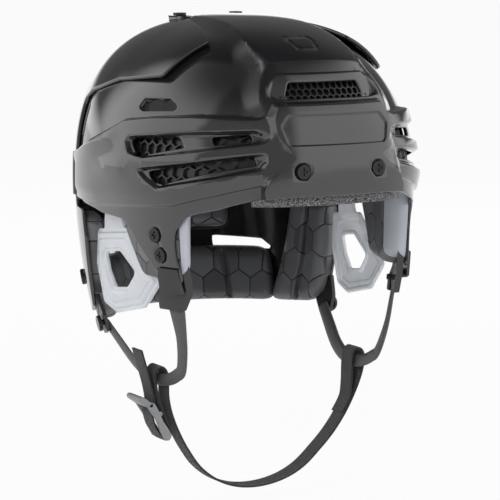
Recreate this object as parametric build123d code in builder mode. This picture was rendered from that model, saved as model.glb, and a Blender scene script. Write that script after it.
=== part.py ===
from build123d import *
from math import cos, sin, radians, copysign

# Ice hockey helmet. Millimetres, +Z up, the face opening looks along -Y, the wearer's right is -X.
# The origin is the centre of the head space, level with the lower edge of the brow.

# Head form that both shells follow
half_width = 103.0
front_reach = 134.0
back_reach = 131.0
crown_height = 107.0
skirt_depth = 100.0
side_tuck = 9.0
front_tuck = 2.0
nape_tuck = 26.0

# Shells
shell_wall = 2.5
shell_gap = 0.3
adjust_travel = 12.0
belt_rise = 4.5
crown_rise = 4.0
plate_rise = 8.0
field_rise = 1.0
recess_depth = 1.5
corner_radius = 3.0
vent_radius = 1.0
overrun = 60.0

# Pads and liners
pad_thickness = 15.0
pad_gap = 0.3
pad_draft = 9.0
groove_width = 3.0
groove_depth = 5.0
liner_thickness = 4.0
cell_pitch = 8.0
cell_radius = 3.2
cells_along = 15
cells_up = 9

# Ear guards
ear_toe_angle = 4.9
ear_thickness = 2.5
ear_rim_width = 4.0
ear_rim_height = 1.5
ear_corner_radius = 5.0
ear_pad_clearance = 3.0
post_radius = 3.0

# Strap loops and anchors
strap_thickness = 2.6
strap_width = 11.0
loop_radius = 57.0
loop_front_angle = 36.0
loop_rear_angle = 38.0
arc_steps = 12
loop_rear_run = 30.0
anchor_thickness = 2.4
anchor_lip = 1.8
slot_height = 4.0
slot_width = 15.0
stud_radius = 5.5
stud_height = 2.6
stud_pin_radius = 2.0
stud_round = 0.8
foot_block_width = 11.0
foot_block_height = 5.0

# Chin strap and buckle
webbing_width = 15.0
webbing_thickness = 1.4
band_steps = 90
stitch_length = 9.0
bar_radius = 1.3
rail_thickness = 1.8
rail_width = 3.2
rail_gap = 0.5
lever_reach = 13.5
lever_rise = 7.5
lever_thickness = 2.2

# Fasteners
screw_head_radius = 4.6
screw_head_height = 1.6
screw_radius = 2.4
seat_depth = 1.0
nut_radius = 5.0
nut_thickness = 2.0
drive_width = 1.2
drive_length = 5.0
drive_depth = 0.9
fit_gap = 0.1

# Exponents of the head form's outlines: a higher number is squarer
side_power = 2.5
front_power = 2.6
back_power = 2.85
plan_front_power = 2.5
plan_front_top_power = 2.1
plan_back_power = 2.1
plan_back_top_power = 2.0
plan_steps = 28
halving_steps = 40

# Heights of the head form's sections, as shares of the crown height and of the skirt depth
level_shares = (0.18, 0.36, 0.52, 0.66, 0.78, 0.87, 0.935, 0.975, 0.994, 0.9992)
skirt_shares = (1.2, 0.8, 0.4)

# Side outlines: shares of the front reach and of the crown height
front_outline_shares = (
    (-1.194, 0.022), (-0.978, 0.014), (-0.933, -0.004), (-0.851, -0.050), (-0.806, -0.075),
    (-0.701, -0.112), (-0.649, -0.150), (-0.604, -0.224), (-0.593, -0.290), (-0.597, -0.383),
    (-0.634, -0.551), (-0.493, -0.528),
    (-0.254, -0.234), (-0.194, -0.196), (0.030, -0.187), (0.112, -0.173), (0.428, -0.154), (0.463, -0.084),
    (0.672, -0.084), (0.672, 0.411), (0.463, 0.561), (0.463, 1.215), (-1.194, 1.215),
)
rear_outline_shares = (
    (-0.381, 0.701), (0.000, 0.654), (0.313, 0.561), (0.428, 0.495), (0.428, -0.196), (0.269, -0.196),
    (0.246, -0.374), (0.261, -0.822), (0.358, -0.879), (0.746, -0.907), (1.194, -0.916), (1.194, 1.215),
    (-0.433, 1.215), (-0.433, 0.897),
)
belt_shares = (
    (0.428, -0.140), (0.060, -0.140), (-0.381, -0.093), (-0.604, -0.075), (-0.828, 0.009), (-0.963, 0.075),
    (-1.000, 0.206), (-1.194, 0.224), (-1.194, 0.551), (-0.918, 0.551), (-0.896, 0.481), (-0.694, 0.486),
    (-0.433, 0.463), (-0.209, 0.430), (-0.090, 0.364), (0.299, 0.196), (0.428, 0.159),
)
rear_belt_shares = (
    (0.428, -0.131), (0.428, 0.159), (0.597, 0.112), (0.784, 0.093), (1.194, 0.093), (1.194, -0.093),
    (0.784, -0.093), (0.597, -0.131),
)
upper_field_shares = (
    (-0.254, 0.327), (-0.649, 0.383), (-0.910, 0.407), (-0.948, 0.374), (-0.940, 0.327), (-0.739, 0.271),
    (-0.418, 0.206), (-0.299, 0.224),
)
lower_field_shares = (
    (-0.366, 0.140), (-0.530, 0.173), (-0.746, 0.215), (-0.955, 0.271), (-0.963, 0.224), (-0.955, 0.168),
    (-0.821, 0.112), (-0.530, 0.028), (-0.448, 0.075),
)
upper_vent_shares = ((-0.276, 0.299), (-0.328, 0.318), (-0.597, 0.346), (-0.649, 0.290), (-0.343, 0.206))
front_vent_shares = ((-0.746, 0.355), (-0.873, 0.374), (-0.888, 0.336), (-0.769, 0.308))
lower_vent_shares = (
    (-0.433, 0.121), (-0.485, 0.136), (-0.903, 0.243), (-0.918, 0.196), (-0.537, 0.056), (-0.478, 0.065),
)
scoop_vent_shares = (
    (-0.284, 0.561), (-0.463, 0.570), (-0.522, 0.533), (-0.522, 0.505), (-0.306, 0.486), (-0.261, 0.505),
)
slit_vent_shares = ((0.321, 0.467), (0.358, 0.467), (0.381, 0.271), (0.343, 0.262))
liner_shares = ((-0.940, 0.430), (-0.239, 0.393), (-0.239, 0.028), (-0.448, 0.000), (-0.940, 0.121))
temple_pad_shares = (
    (-0.657, 0.449), (-0.642, -0.131), (-0.627, -0.467), (-0.552, -0.542), (-0.328, -0.523),
    (-0.179, -0.224), (-0.127, -0.112), (-0.119, 0.430),
)
side_pad_shares = ((-0.097, 0.430), (0.403, 0.374), (0.403, -0.037), (-0.097, -0.037))
rear_side_pad_shares = ((0.306, -0.234), (0.672, -0.234), (0.687, -0.944), (0.373, -0.925), (0.313, -0.841))
ear_shares = (
    (0.209, -0.318), (-0.104, -0.271), (-0.396, -0.570), (-0.246, -0.757), (0.022, -0.832), (0.149, -0.785),
    (0.224, -0.542),
)
ear_window_shares = (
    (0.119, -0.458), (-0.030, -0.430), (-0.179, -0.542), (-0.104, -0.645), (0.022, -0.664), (0.082, -0.570),
)
ear_tab_shares = (
    (0.142, -0.345), (-0.060, -0.310), (-0.030, -0.224), (-0.030, -0.044), (0.119, -0.044), (0.142, -0.243),
)

# Front and back outlines, right half: shares of the half width and of the crown height
plate_shares = ((0.369, 0.561), (0.485, 0.486), (0.485, 0.206), (0.524, 0.075), (0.495, -0.009))
recess_shares = ((0.335, 0.495), (0.417, 0.425), (0.364, 0.299))
window_shares = ((0.248, 0.680), (0.291, 0.598))
rear_slot_shares = ((0.388, -0.533), (0.680, -0.551), (0.738, -0.617), (0.388, -0.617))
rear_vent_shares = ((0.117, 0.318), (0.447, 0.355), (0.408, 0.224), (0.117, 0.187))
rear_top_vent_shares = ((0.097, 0.617), (0.291, 0.636), (0.272, 0.533), (0.097, 0.514))
forehead_pad_shares = ((0.485, 0.467), (0.563, 0.280), (0.563, -0.037))
window_liner_shares = ((0.290, 0.740), (0.300, 0.590))
occipital_pad_shares = ((0.447, -0.636), (0.485, -0.944))
upper_rear_pad_shares = ((0.388, 0.617), (0.524, 0.280), (0.485, -0.467))

# Plan outlines, right half: shares of the half width and of the front reach
crown_shares = (
    (0.252, 0.172), (0.262, 0.000), (0.291, -0.343), (0.359, -0.642), (0.350, -0.746), (0.447, -0.843),
    (0.447, -1.194),
)
wing_shares = ((0.262, 0.187), (0.515, -0.433), (1.553, -0.433), (1.553, 1.194))
crown_pad_shares = ((0.233, 0.254), (0.408, 0.149), (0.447, -0.299), (0.330, -0.560))
crown_foot_share = 0.48

# Places: shares of the half width, the front reach and the crown height
ear_place_share = 0.891
visor_screw_shares = (0.270, 0.159)
side_screw_shares = ((-0.470, -0.262), (-0.500, -0.383))
rear_stud_shares = (0.463, -0.673)
size_screw_shares = (0.214, 0.336)
post_shares = ((-0.005, -0.077), (0.095, -0.077))
loop_front_shares = (-0.828, -0.507, -0.590)
loop_rear_shares = (-0.835, 0.240, -0.930)
loop_side_shares = ((-0.720, 1.180), (-0.728, 0.900), (-0.720, 0.600))
run_shares = (0.5, 1.0)
slide_shares = (0, 0.15, 0.30, 0.45, 0.60)
loop_bottom_shares = (-0.738, -0.201, -1.224)
foot_shares = (-0.545, -0.477)
front_anchor_shares = (
    (-0.600, -0.440), (-0.612, -0.600), (-0.560, -0.725), (-0.430, -0.725), (-0.430, -0.640),
    (-0.490, -0.560), (-0.490, -0.440),
)
front_lip_shares = ((-0.600, -0.462), (-0.625, -0.610), (-0.490, -0.610), (-0.490, -0.462))
rear_anchor_shares = (
    (0.299, -0.748), (0.231, -0.748), (0.179, -0.879), (0.179, -0.981), (0.246, -1.009), (0.299, -0.916),
)
anchor_pin_shares = ((-0.500, -0.640), (0.225, -0.935))

# Chin strap route in the XZ plane: shares of the half width and of the crown height,
# from the free tail on the right, round the buckle's bar and the right loop, under the chin to the left loop
chin_shares = (
    (-0.888, -1.023), (-0.852, -1.140), (-0.814, -1.270), (-0.799, -1.364), (-0.812, -1.430),
    (-0.792, -1.510), (-0.745, -1.577), (-0.715, -1.606), (-0.685, -1.590), (-0.684, -1.545),
    (-0.728, -1.440), (-0.768, -1.330), (-0.785, -1.240), (-0.786, -1.172), (-0.748, -1.138),
    (-0.706, -1.172), (-0.697, -1.250), (-0.694, -1.340), (-0.668, -1.450), (-0.615, -1.575),
    (-0.548, -1.692), (-0.456, -1.813), (-0.330, -1.906), (-0.175, -1.962), (0.000, -1.974),
    (0.175, -1.944), (0.320, -1.879), (0.447, -1.776), (0.553, -1.673), (0.648, -1.550),
    (0.725, -1.415), (0.773, -1.300), (0.788, -1.225), (0.783, -1.164), (0.744, -1.138),
    (0.706, -1.172), (0.696, -1.260), (0.694, -1.350), (0.685, -1.445), (0.667, -1.489),
    (0.639, -1.534), (0.620, -1.561),
)
buckle_shares = ((-0.7135, -1.5750), (-0.7620, -1.4350), (-0.8290, -1.3690))
stitch_shares = ((0.647, -1.540), (0.661, -1.515), (0.675, -1.488))
front_foot_share = -0.600
side_groove_shares = (-0.520, -0.360, 0.080, 0.240)
rear_groove_shares = (0.430, 0.560)
middle_groove_shares = (-0.200, 0.200)
strip_shares = ((0.530, 0.037), (0.530, -0.056))


# One set of parameters for every section's spline keeps the lofted surface light
plan_parameters = [step / plan_steps for step in range(plan_steps + 1)]


def reach(height, size, top, power, tuck):
    """Distance from the axis to the head form's outline at a height."""
    if height >= 0:
        return size * (1 - (height / top) ** power) ** (1 / power)
    return size - tuck * (height / skirt_depth) ** 2


def half_sizes(height, rise):
    """Side, front and back reach of the head form at a height, moved out by rise."""
    top = crown_height + rise
    side = reach(height, half_width + rise, top, side_power, side_tuck)
    front = reach(height, front_reach + rise, top, front_power, front_tuck)
    back = reach(height, back_reach + rise, top, back_power, nape_tuck)
    return side, front, back


def plan_powers(height, rise):
    """Exponents of the plan outline ahead of and behind the widest place."""
    share = max(height, 0) / (crown_height + rise)
    ahead = plan_front_power + (plan_front_top_power - plan_front_power) * share
    behind = plan_back_power + (plan_back_top_power - plan_back_power) * share
    return ahead, behind


def section(height, rise, stretch):
    """Plan points of the head form at one height."""
    side, front, back = half_sizes(height, rise)
    ahead, behind = plan_powers(height, rise)
    points = []
    for step in range(plan_steps):
        angle = radians(360 * step / plan_steps)
        across = cos(angle)
        along = sin(angle)
        in_front = 2 * step > plan_steps
        power = ahead if in_front else behind
        length = front if in_front else back
        shift = stretch if in_front else 0
        x = side * copysign(abs(across) ** (2 / power), across)
        y = length * copysign(abs(along) ** (2 / power), along) - shift
        points.append((x, y))
    return points


def head_form(rise, stretch=0):
    """Closed solid of the head form, moved out by rise, its front half carried forward by stretch."""
    top = crown_height + rise
    heights = [-skirt_depth * share for share in skirt_shares] + [0]
    heights += [top * share for share in level_shares]
    with BuildPart() as form:
        for height in heights:
            outline = section(height, rise, stretch)
            with BuildSketch(Plane.XY.offset(height)):
                with BuildLine():
                    add(Edge.make_spline(outline, periodic=True, parameters=plan_parameters))
                make_face()
        loft()
    return form.part


def side_at(y, z, rise):
    """Half width of the head form at a place seen from the side."""
    side, front, back = half_sizes(z, rise)
    ahead, behind = plan_powers(z, rise)
    length, power = (front, ahead) if y < 0 else (back, behind)
    return side * (1 - abs(y / length) ** power) ** (1 / power)


def front_at(x, z, rise):
    """Reach of the head form along -Y at a place seen from the front."""
    side, front, back = half_sizes(z, rise)
    power = plan_powers(z, rise)[0]
    return front * (1 - abs(x / side) ** power) ** (1 / power)


def crown_at(x, y, rise):
    """Height of the head form over a plan place behind the widest section."""
    low, high = 0, crown_height + rise
    for halving in range(halving_steps):
        middle = (low + high) / 2
        side, front, back = half_sizes(middle, rise)
        power = plan_powers(middle, rise)[1]
        inside = (abs(x) / side) ** power + (abs(y) / back) ** power < 1
        low, high = (middle, high) if inside else (low, middle)
    return low


def side_points(shares):
    return [(y * front_reach, z * crown_height) for y, z in shares]


def front_points(shares):
    """Right half outline and its mirror image, as one closed outline."""
    right = [(x * half_width, z * crown_height) for x, z in shares]
    left = [(-x, z) for x, z in reversed(right)]
    return right + left


def plan_points(shares):
    right = [(x * half_width, y * front_reach) for x, y in shares]
    left = [(-x, y) for x, y in reversed(right)]
    return right + left


def prism(plane, points, amount, radius=0, grow=0, both=False, draft=0):
    """Outline with rounded corners, grown or shrunk, pushed out of its plane."""
    with BuildPart() as block:
        with BuildSketch(plane) as face:
            with BuildLine():
                Polyline(*points, close=True)
            make_face()
            if radius:
                fillet(face.vertices(), radius)
            if grow:
                offset(amount=grow)
        extrude(amount=amount, both=both, taper=draft)
    return block.part


def across(points, radius=0, grow=0):
    """Prism through both sides of the helmet."""
    return prism(Plane.YZ, points, half_width + overrun, radius, grow, both=True)


def band(plane, points, width, depth):
    """Strip of even width along a smooth centreline, depth deep through its plane."""
    with BuildLine(Plane.XY) as route:
        Spline(*points)
    line = route.edges()[0]
    lefts = []
    rights = []
    for step in range(band_steps + 1):
        place = line.position_at(step / band_steps)
        along = line.tangent_at(step / band_steps)
        side = Vector(-along.Y, along.X) * (width / 2)
        lefts.append(place + side)
        rights.append(place - side)
    with BuildPart() as strip:
        with BuildSketch(plane):
            with BuildLine():
                left = Spline(*lefts)
                right = Spline(*rights)
                Line(left @ 0, right @ 0)
                Line(left @ 1, right @ 1)
            make_face()
        extrude(amount=depth / 2, both=True)
    return strip.part


def common(first, *others):
    with BuildPart() as piece:
        add(first)
        for other in others:
            add(other, mode=Mode.INTERSECT)
    return piece.part


def without(first, *others):
    with BuildPart() as piece:
        add(first)
        for other in others:
            add(other, mode=Mode.SUBTRACT)
    return piece.part


def save(piece, name):
    piece.label = name
    export_step(piece, "parts/" + name + ".step")


def save_pair(piece, name):
    """Write a right hand piece and its mirror image."""
    save(piece, name + "_right")
    save(mirror(piece, about=Plane.YZ), name + "_left")


def seat_on(surface_point, step_size, point):
    """Plane that lies on a curved surface, found from places a step away: its normal looks out."""
    y, z = point
    along = surface_point(y + step_size, z) - surface_point(y - step_size, z)
    upward = surface_point(y, z + step_size) - surface_point(y, z - step_size)
    return Plane(origin=surface_point(y, z), x_dir=along, z_dir=upward.cross(along))


def right_side(y, z):
    return Vector(-side_at(y, z, 0), y, z)


def rear_side(y, z):
    return Vector(-side_at(y, z, shell_gap + shell_wall), y, z)


def mirror_plane(plane):
    """The same plane on the other side of the helmet."""
    flip = Vector(-1, 1, 1)
    centre = Vector(*[a * b for a, b in zip(plane.origin, flip)])
    level = Vector(*[-a * b for a, b in zip(plane.x_dir, flip)])
    outward = Vector(*[a * b for a, b in zip(plane.z_dir, flip)])
    return Plane(origin=centre, x_dir=level, z_dir=outward)


def screw(plane, length, lift=0):
    """Screw with a cross drive: its head's underside lies lift above the plane, its shank runs down."""
    with BuildPart() as body:
        with BuildSketch(plane.offset(lift)):
            Circle(screw_head_radius)
        extrude(amount=screw_head_height)
        with BuildSketch(plane.offset(lift)):
            Circle(screw_radius)
        extrude(amount=-length)
        with BuildSketch(plane.offset(lift + screw_head_height)):
            Rectangle(drive_length, drive_width)
            Rectangle(drive_width, drive_length)
        extrude(amount=-drive_depth, mode=Mode.SUBTRACT)
    return body.part


def nut(plane, depth):
    """Round nut whose near face lies depth under the plane."""
    with BuildPart() as body:
        with BuildSketch(plane.offset(-depth)):
            Circle(nut_radius)
            Circle(screw_radius, mode=Mode.SUBTRACT)
        extrude(amount=-nut_thickness)
    return body.part


# Head forms that more than one piece uses
base_form = head_form(0)
lining_form = head_form(-shell_wall)
pad_outer_form = head_form(-shell_wall - pad_gap)
pad_inner_form = head_form(-shell_wall - pad_gap - pad_thickness)
rear_pad_inner_form = head_form(-pad_thickness)

crown_top = Plane.XY.offset(crown_foot_share * crown_height)
crown_region_height = crown_height - crown_foot_share * crown_height + overrun
front_half = Plane.XZ.offset(front_reach / 2)
back_half = Plane.XZ.offset(-back_reach / 2)

# Places of the fasteners
visor_x = visor_screw_shares[0] * half_width
visor_z = visor_screw_shares[1] * crown_height
visor_y = -front_at(visor_x, visor_z, plate_rise) + seat_depth
visor_planes = [
    Plane(origin=(x, visor_y, visor_z), x_dir=(1, 0, 0), z_dir=(0, -1, 0)) for x in (-visor_x, visor_x)
]
side_planes = [
    seat_on(right_side, corner_radius, point).offset(-seat_depth) for point in side_points(side_screw_shares)
]
size_x = size_screw_shares[0] * half_width
size_y = size_screw_shares[1] * front_reach
boss_top = crown_at(size_x, size_y - adjust_travel, shell_gap + shell_wall) + field_rise
size_planes = [Plane.XY.offset(boss_top).shift_origin((x, size_y, boss_top)) for x in (-size_x, size_x)]
stud_plane = seat_on(rear_side, corner_radius, side_points([rear_stud_shares])[0])

ear_toe = radians(ear_toe_angle)
ear_plane = Plane(
    origin=(-ear_place_share * half_width, 0, 0),
    x_dir=(-sin(ear_toe), cos(ear_toe), 0),
    z_dir=(cos(ear_toe), sin(ear_toe), 0),
)
post_places = side_points(post_shares)
loop_front, loop_rear, loop_bottom = [
    Vector(x * half_width, y * front_reach, z * crown_height)
    for x, y, z in (loop_front_shares, loop_rear_shares, loop_bottom_shares)
]
loop_normal = (loop_rear - loop_bottom).cross(loop_front - loop_bottom)
loop_plane = Plane(origin=loop_bottom, x_dir=(-loop_normal.Y, loop_normal.X, 0), z_dir=loop_normal)


# Front shell
def fastener_cuts(planes):
    """Seats, holes and flat inner faces for the screws and nuts of the front shell."""
    with BuildPart() as cuts:
        for plane in planes:
            with BuildSketch(plane):
                Circle(screw_head_radius + shell_gap)
            extrude(amount=screw_head_height + shell_wall)
            with BuildSketch(plane):
                Circle(screw_radius + fit_gap)
            extrude(amount=-shell_wall)
            with BuildSketch(plane.offset(seat_depth - shell_wall)):
                Circle(nut_radius + shell_gap)
            extrude(amount=-nut_thickness - shell_wall)
    return cuts.part


def relief(rise, region, inner_region):
    """Raised area of the front shell, and the hollow behind it."""
    return common(head_form(rise), region), common(head_form(rise - shell_wall), inner_region)


belt_points = side_points(belt_shares)
field_points = [side_points(shares) for shares in (upper_field_shares, lower_field_shares)]
belt, belt_inside = relief(belt_rise, across(belt_points), across(belt_points, grow=-shell_wall))
belt_hollow = without(belt_inside, *[across(points, grow=shell_wall) for points in field_points])
crown_points = plan_points(crown_shares)
crown, crown_hollow = relief(
    crown_rise,
    prism(crown_top, crown_points, crown_region_height, corner_radius),
    prism(crown_top.offset(shell_wall), crown_points, crown_region_height, grow=-shell_wall),
)
plate_points = front_points(plate_shares)
plate, plate_hollow = relief(
    plate_rise,
    prism(front_half, plate_points, front_reach, corner_radius),
    prism(front_half, plate_points, front_reach, grow=-shell_wall),
)
field_floor = head_form(field_rise)
plate_form = head_form(plate_rise)
field_cuts = [
    without(common(plate_form, across(points, vent_radius)), field_floor) for points in field_points
]
vents_shares = (upper_vent_shares, front_vent_shares, lower_vent_shares, scoop_vent_shares, slit_vent_shares)
side_vents = [across(side_points(shares), vent_radius) for shares in vents_shares]
recess_block = prism(front_half, front_points(recess_shares), front_reach, corner_radius)
recess = without(recess_block, head_form(plate_rise - recess_depth))
window = prism(front_half, front_points(window_shares), front_reach, vent_radius)
right_side_cuts = fastener_cuts(side_planes)
left_side_cuts = mirror(right_side_cuts, about=Plane.YZ)
visor_cuts = fastener_cuts(visor_planes)
foot_point = side_points([foot_shares])[0]
with BuildPart() as foot_slot:
    with BuildSketch(Plane.YZ) as slot_face:
        with Locations(foot_point):
            Rectangle(slot_width, slot_height)
        fillet(slot_face.vertices(), vent_radius)
    extrude(amount=half_width + overrun, both=True)

front_outline = side_points(front_outline_shares)
with BuildPart() as front_shell:
    add(base_form)
    add(belt)
    add(crown)
    for cut in field_cuts:
        add(cut, mode=Mode.SUBTRACT)
    add(plate)
    for hollow in (lining_form, belt_hollow, crown_hollow, plate_hollow):
        add(hollow, mode=Mode.SUBTRACT)
    add(across(front_outline), mode=Mode.INTERSECT)
    for vent in side_vents:
        add(vent, mode=Mode.SUBTRACT)
    for cut in (window, recess, foot_slot.part, visor_cuts, right_side_cuts, left_side_cuts):
        add(cut, mode=Mode.SUBTRACT)
    with Locations(*[(x, size_y, boss_top) for x in (-size_x, size_x)]):
        Cylinder(screw_radius + fit_gap, overrun, mode=Mode.SUBTRACT)
save(front_shell.part, "front_shell")

# Rear shell
rear_outer_form = head_form(shell_gap + shell_wall, adjust_travel)
rear_hollow_form = head_form(shell_gap, adjust_travel)
slot_size = 2 * (screw_radius + fit_gap)
boss_size = 3 * screw_head_radius
rear_belt = common(head_form(belt_rise, adjust_travel), across(side_points(rear_belt_shares)))
with BuildPart() as rear_shell:
    add(rear_outer_form)
    add(rear_belt)
    with BuildSketch(Plane.XY.offset(boss_top - shell_wall)):
        with Locations(*[(x, size_y - adjust_travel / 2) for x in (-size_x, size_x)]):
            SlotOverall(adjust_travel + boss_size, boss_size, rotation=90)
    extrude(amount=shell_wall)
    add(rear_hollow_form, mode=Mode.SUBTRACT)
    add(across(side_points(rear_outline_shares)), mode=Mode.INTERSECT)
    add(prism(Plane.XY, plan_points(wing_shares), crown_height + overrun, both=True), mode=Mode.INTERSECT)
    for shares in (rear_slot_shares, rear_vent_shares, rear_top_vent_shares):
        right = [(-x * half_width, z * crown_height) for x, z in shares]
        left = [(-x, z) for x, z in right]
        for points in (right, left):
            add(prism(back_half, points, -back_reach, vent_radius), mode=Mode.SUBTRACT)
    with BuildSketch(Plane.XY):
        with Locations(*[(x, size_y - adjust_travel / 2) for x in (-size_x, size_x)]):
            SlotOverall(adjust_travel + slot_size, slot_size, rotation=90)
    extrude(amount=crown_height + overrun, mode=Mode.SUBTRACT)
    for plane in (stud_plane, mirror_plane(stud_plane)):
        with BuildSketch(plane):
            Circle(stud_pin_radius + fit_gap)
        extrude(amount=-2 * shell_wall, mode=Mode.SUBTRACT)
save(rear_shell.part, "rear_shell")

# Pads on the front shell
def cushion(block, outer, inner):
    """Pad between two head forms, drawn in towards the head by its block's draft."""
    with BuildPart() as body:
        add(block)
        add(outer, mode=Mode.INTERSECT)
        add(inner, mode=Mode.SUBTRACT)
    return body.part


def side_block(shares):
    plane = Plane.YZ.offset(-half_width)
    return prism(plane, side_points(shares), half_width, corner_radius, draft=pad_draft)


def front_block(shares):
    plane = Plane.XZ.offset(front_reach)
    return prism(plane, front_points(shares), -front_reach / 2, corner_radius, draft=pad_draft)


def back_block(shares):
    plane = Plane.XZ.offset(-back_reach)
    return prism(plane, front_points(shares), back_reach / 2, corner_radius, draft=pad_draft)


def grooves(form, shares, size, across_helmet):
    """Channels as deep as form, at shares of the front reach or of the half width."""
    with BuildPart() as channels:
        if across_helmet:
            with Locations(*[(0, share * front_reach, 0) for share in shares]):
                Box(2 * half_width, groove_width, size)
        else:
            with Locations(*[(share * half_width, 0, 0) for share in shares]):
                Box(groove_width, 2 * front_reach, size)
        add(form, mode=Mode.INTERSECT)
    return channels.part


def nut_room(plane):
    """Pocket for a nut and its screw's end."""
    with BuildPart() as pocket:
        with BuildSketch(plane):
            Circle(nut_radius + vent_radius)
        extrude(amount=-shell_wall - 2 * nut_thickness - vent_radius)
    return pocket.part


front_groove_form = head_form(-shell_wall - pad_gap - pad_thickness + groove_depth)
rear_groove_form = head_form(-pad_thickness + groove_depth)
liner_inner_form = head_form(-shell_wall - pad_gap - liner_thickness)
liner_room_form = head_form(-shell_wall - 2 * pad_gap - liner_thickness)
anchor_outer_form = head_form(-shell_wall - fit_gap)
anchor_deep_form = head_form(-shell_wall - 2 * anchor_thickness)
anchor_room_form = head_form(-shell_wall - pad_gap - 2 * anchor_thickness - fit_gap)
rear_anchor_form = head_form(shell_gap - fit_gap - anchor_thickness, adjust_travel)
nut_rooms = [nut_room(plane) for plane in side_planes]
side_grooves = grooves(front_groove_form, side_groove_shares, 3 * crown_height, True)
middle_grooves = grooves(front_groove_form, middle_groove_shares, 3 * crown_height, False)

liner_room = without(across(side_points(liner_shares), grow=pad_gap), liner_room_form)
temple_pad = without(
    cushion(side_block(temple_pad_shares), pad_outer_form, pad_inner_form),
    liner_room,
    without(across(side_points(front_anchor_shares), grow=pad_gap), anchor_room_form),
    prism(ear_plane, side_points(ear_shares), ear_pad_clearance, grow=ear_pad_clearance, both=True),
    side_grooves,
    *nut_rooms,
)
side_pad = without(
    cushion(side_block(side_pad_shares), pad_outer_form, pad_inner_form),
    liner_room,
    side_grooves,
)
forehead_pad = without(
    cushion(front_block(forehead_pad_shares), pad_outer_form, pad_inner_form), liner_room, middle_grooves
)
crown_pad_block = prism(crown_top, plan_points(crown_pad_shares), crown_region_height, corner_radius)
crown_pad = without(cushion(crown_pad_block, pad_outer_form, pad_inner_form), middle_grooves)
save_pair(temple_pad, "temple_pad")
save_pair(side_pad, "side_pad")
save(forehead_pad, "forehead_pad")
save(crown_pad, "crown_pad")

strip_region = prism(front_half, front_points(strip_shares), front_reach)
brow_trim = without(
    common(strip_region, head_form(-pad_gap)),
    head_form(-shell_wall - pad_gap + fit_gap),
    across(front_outline, grow=fit_gap),
)
save(brow_trim, "brow_trim")


# Honeycomb liners behind the vents
def honeycomb(plane, points, amount, outer, inner):
    with BuildPart() as mesh:
        with BuildSketch(plane):
            with BuildLine():
                Polyline(*points, close=True)
            make_face()
            with BuildSketch(Plane.XY, mode=Mode.SUBTRACT):
                with Locations(liner_centre(points)):
                    with HexLocations(cell_pitch / 2, cells_along, cells_up, major_radius=False):
                        RegularPolygon(cell_radius, 6, major_radius=False)
                with BuildSketch(Plane.XY, mode=Mode.INTERSECT):
                    with BuildLine():
                        Polyline(*points, close=True)
                    make_face()
                    offset(amount=-cell_pitch + 2 * cell_radius)
        extrude(amount=amount)
        add(outer, mode=Mode.INTERSECT)
        add(inner, mode=Mode.SUBTRACT)
    return mesh.part


def liner_centre(points):
    highs = [max(values) for values in zip(*points)]
    lows = [min(values) for values in zip(*points)]
    return (highs[0] + lows[0]) / 2, (highs[1] + lows[1]) / 2


side_liner = honeycomb(
    Plane.YZ.offset(-half_width), side_points(liner_shares), half_width, pad_outer_form, liner_inner_form
)
save_pair(side_liner, "side_liner")
window_liner = honeycomb(
    front_half, front_points(window_liner_shares), front_reach, head_form(crown_rise - shell_wall - pad_gap),
    head_form(crown_rise - shell_wall - pad_gap - liner_thickness),
)
save(window_liner, "window_liner")

# Pads on the rear shell
rear_side_pad = without(
    cushion(side_block(rear_side_pad_shares), base_form, rear_pad_inner_form),
    grooves(rear_groove_form, rear_groove_shares, 3 * crown_height, True),
)
rear_middle_grooves = grooves(rear_groove_form, middle_groove_shares, 3 * crown_height, False)
occipital_pad = without(
    cushion(back_block(occipital_pad_shares), base_form, rear_pad_inner_form), rear_middle_grooves
)
upper_rear_pad = without(
    cushion(back_block(upper_rear_pad_shares), base_form, rear_pad_inner_form), rear_middle_grooves
)
save_pair(rear_side_pad, "rear_side_pad")
save(occipital_pad, "occipital_pad")
save(upper_rear_pad, "upper_rear_pad")

# Ear guards
with BuildPart() as ear_guard:
    with BuildSketch(ear_plane) as ear_face:
        with BuildLine():
            Polyline(*side_points(ear_shares), close=True)
        make_face()
        fillet(ear_face.vertices(), ear_corner_radius)
        with BuildLine():
            Polyline(*side_points(ear_tab_shares), close=True)
        make_face()
        with BuildLine():
            Polyline(*side_points(ear_window_shares), close=True)
        make_face(mode=Mode.SUBTRACT)
    extrude(amount=ear_thickness)
    with BuildSketch(ear_plane) as rim_face:
        with BuildLine():
            Polyline(*side_points(ear_shares), close=True)
        make_face()
        fillet(rim_face.vertices(), ear_corner_radius)
        offset(amount=-ear_rim_width, mode=Mode.SUBTRACT)
        with BuildSketch(Plane.XY) as window_rim:
            with BuildLine():
                Polyline(*side_points(ear_window_shares), close=True)
            make_face()
            offset(amount=ear_rim_width / 2)
        with BuildLine():
            Polyline(*side_points(ear_window_shares), close=True)
        make_face(mode=Mode.SUBTRACT)
    extrude(amount=-ear_rim_height)
    with BuildSketch(ear_plane):
        with Locations(*post_places):
            Circle(stud_pin_radius + fit_gap)
    extrude(amount=ear_thickness, mode=Mode.SUBTRACT)
save_pair(ear_guard.part, "ear_guard")

with BuildPart() as ear_guard_posts:
    with BuildSketch(ear_plane.offset(-fit_gap)):
        with Locations(*post_places):
            Circle(post_radius)
    extrude(amount=-overrun)
    add(head_form(belt_rise - shell_wall - fit_gap), mode=Mode.INTERSECT)
    with BuildSketch(ear_plane.offset(-fit_gap)):
        with Locations(*post_places):
            Circle(stud_pin_radius)
    extrude(amount=ear_thickness + 2 * fit_gap)
    with BuildSketch(ear_plane.offset(ear_thickness + fit_gap)):
        with Locations(*post_places):
            Circle(post_radius)
    extrude(amount=screw_head_height)
save_pair(ear_guard_posts.part, "ear_guard_posts")

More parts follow.
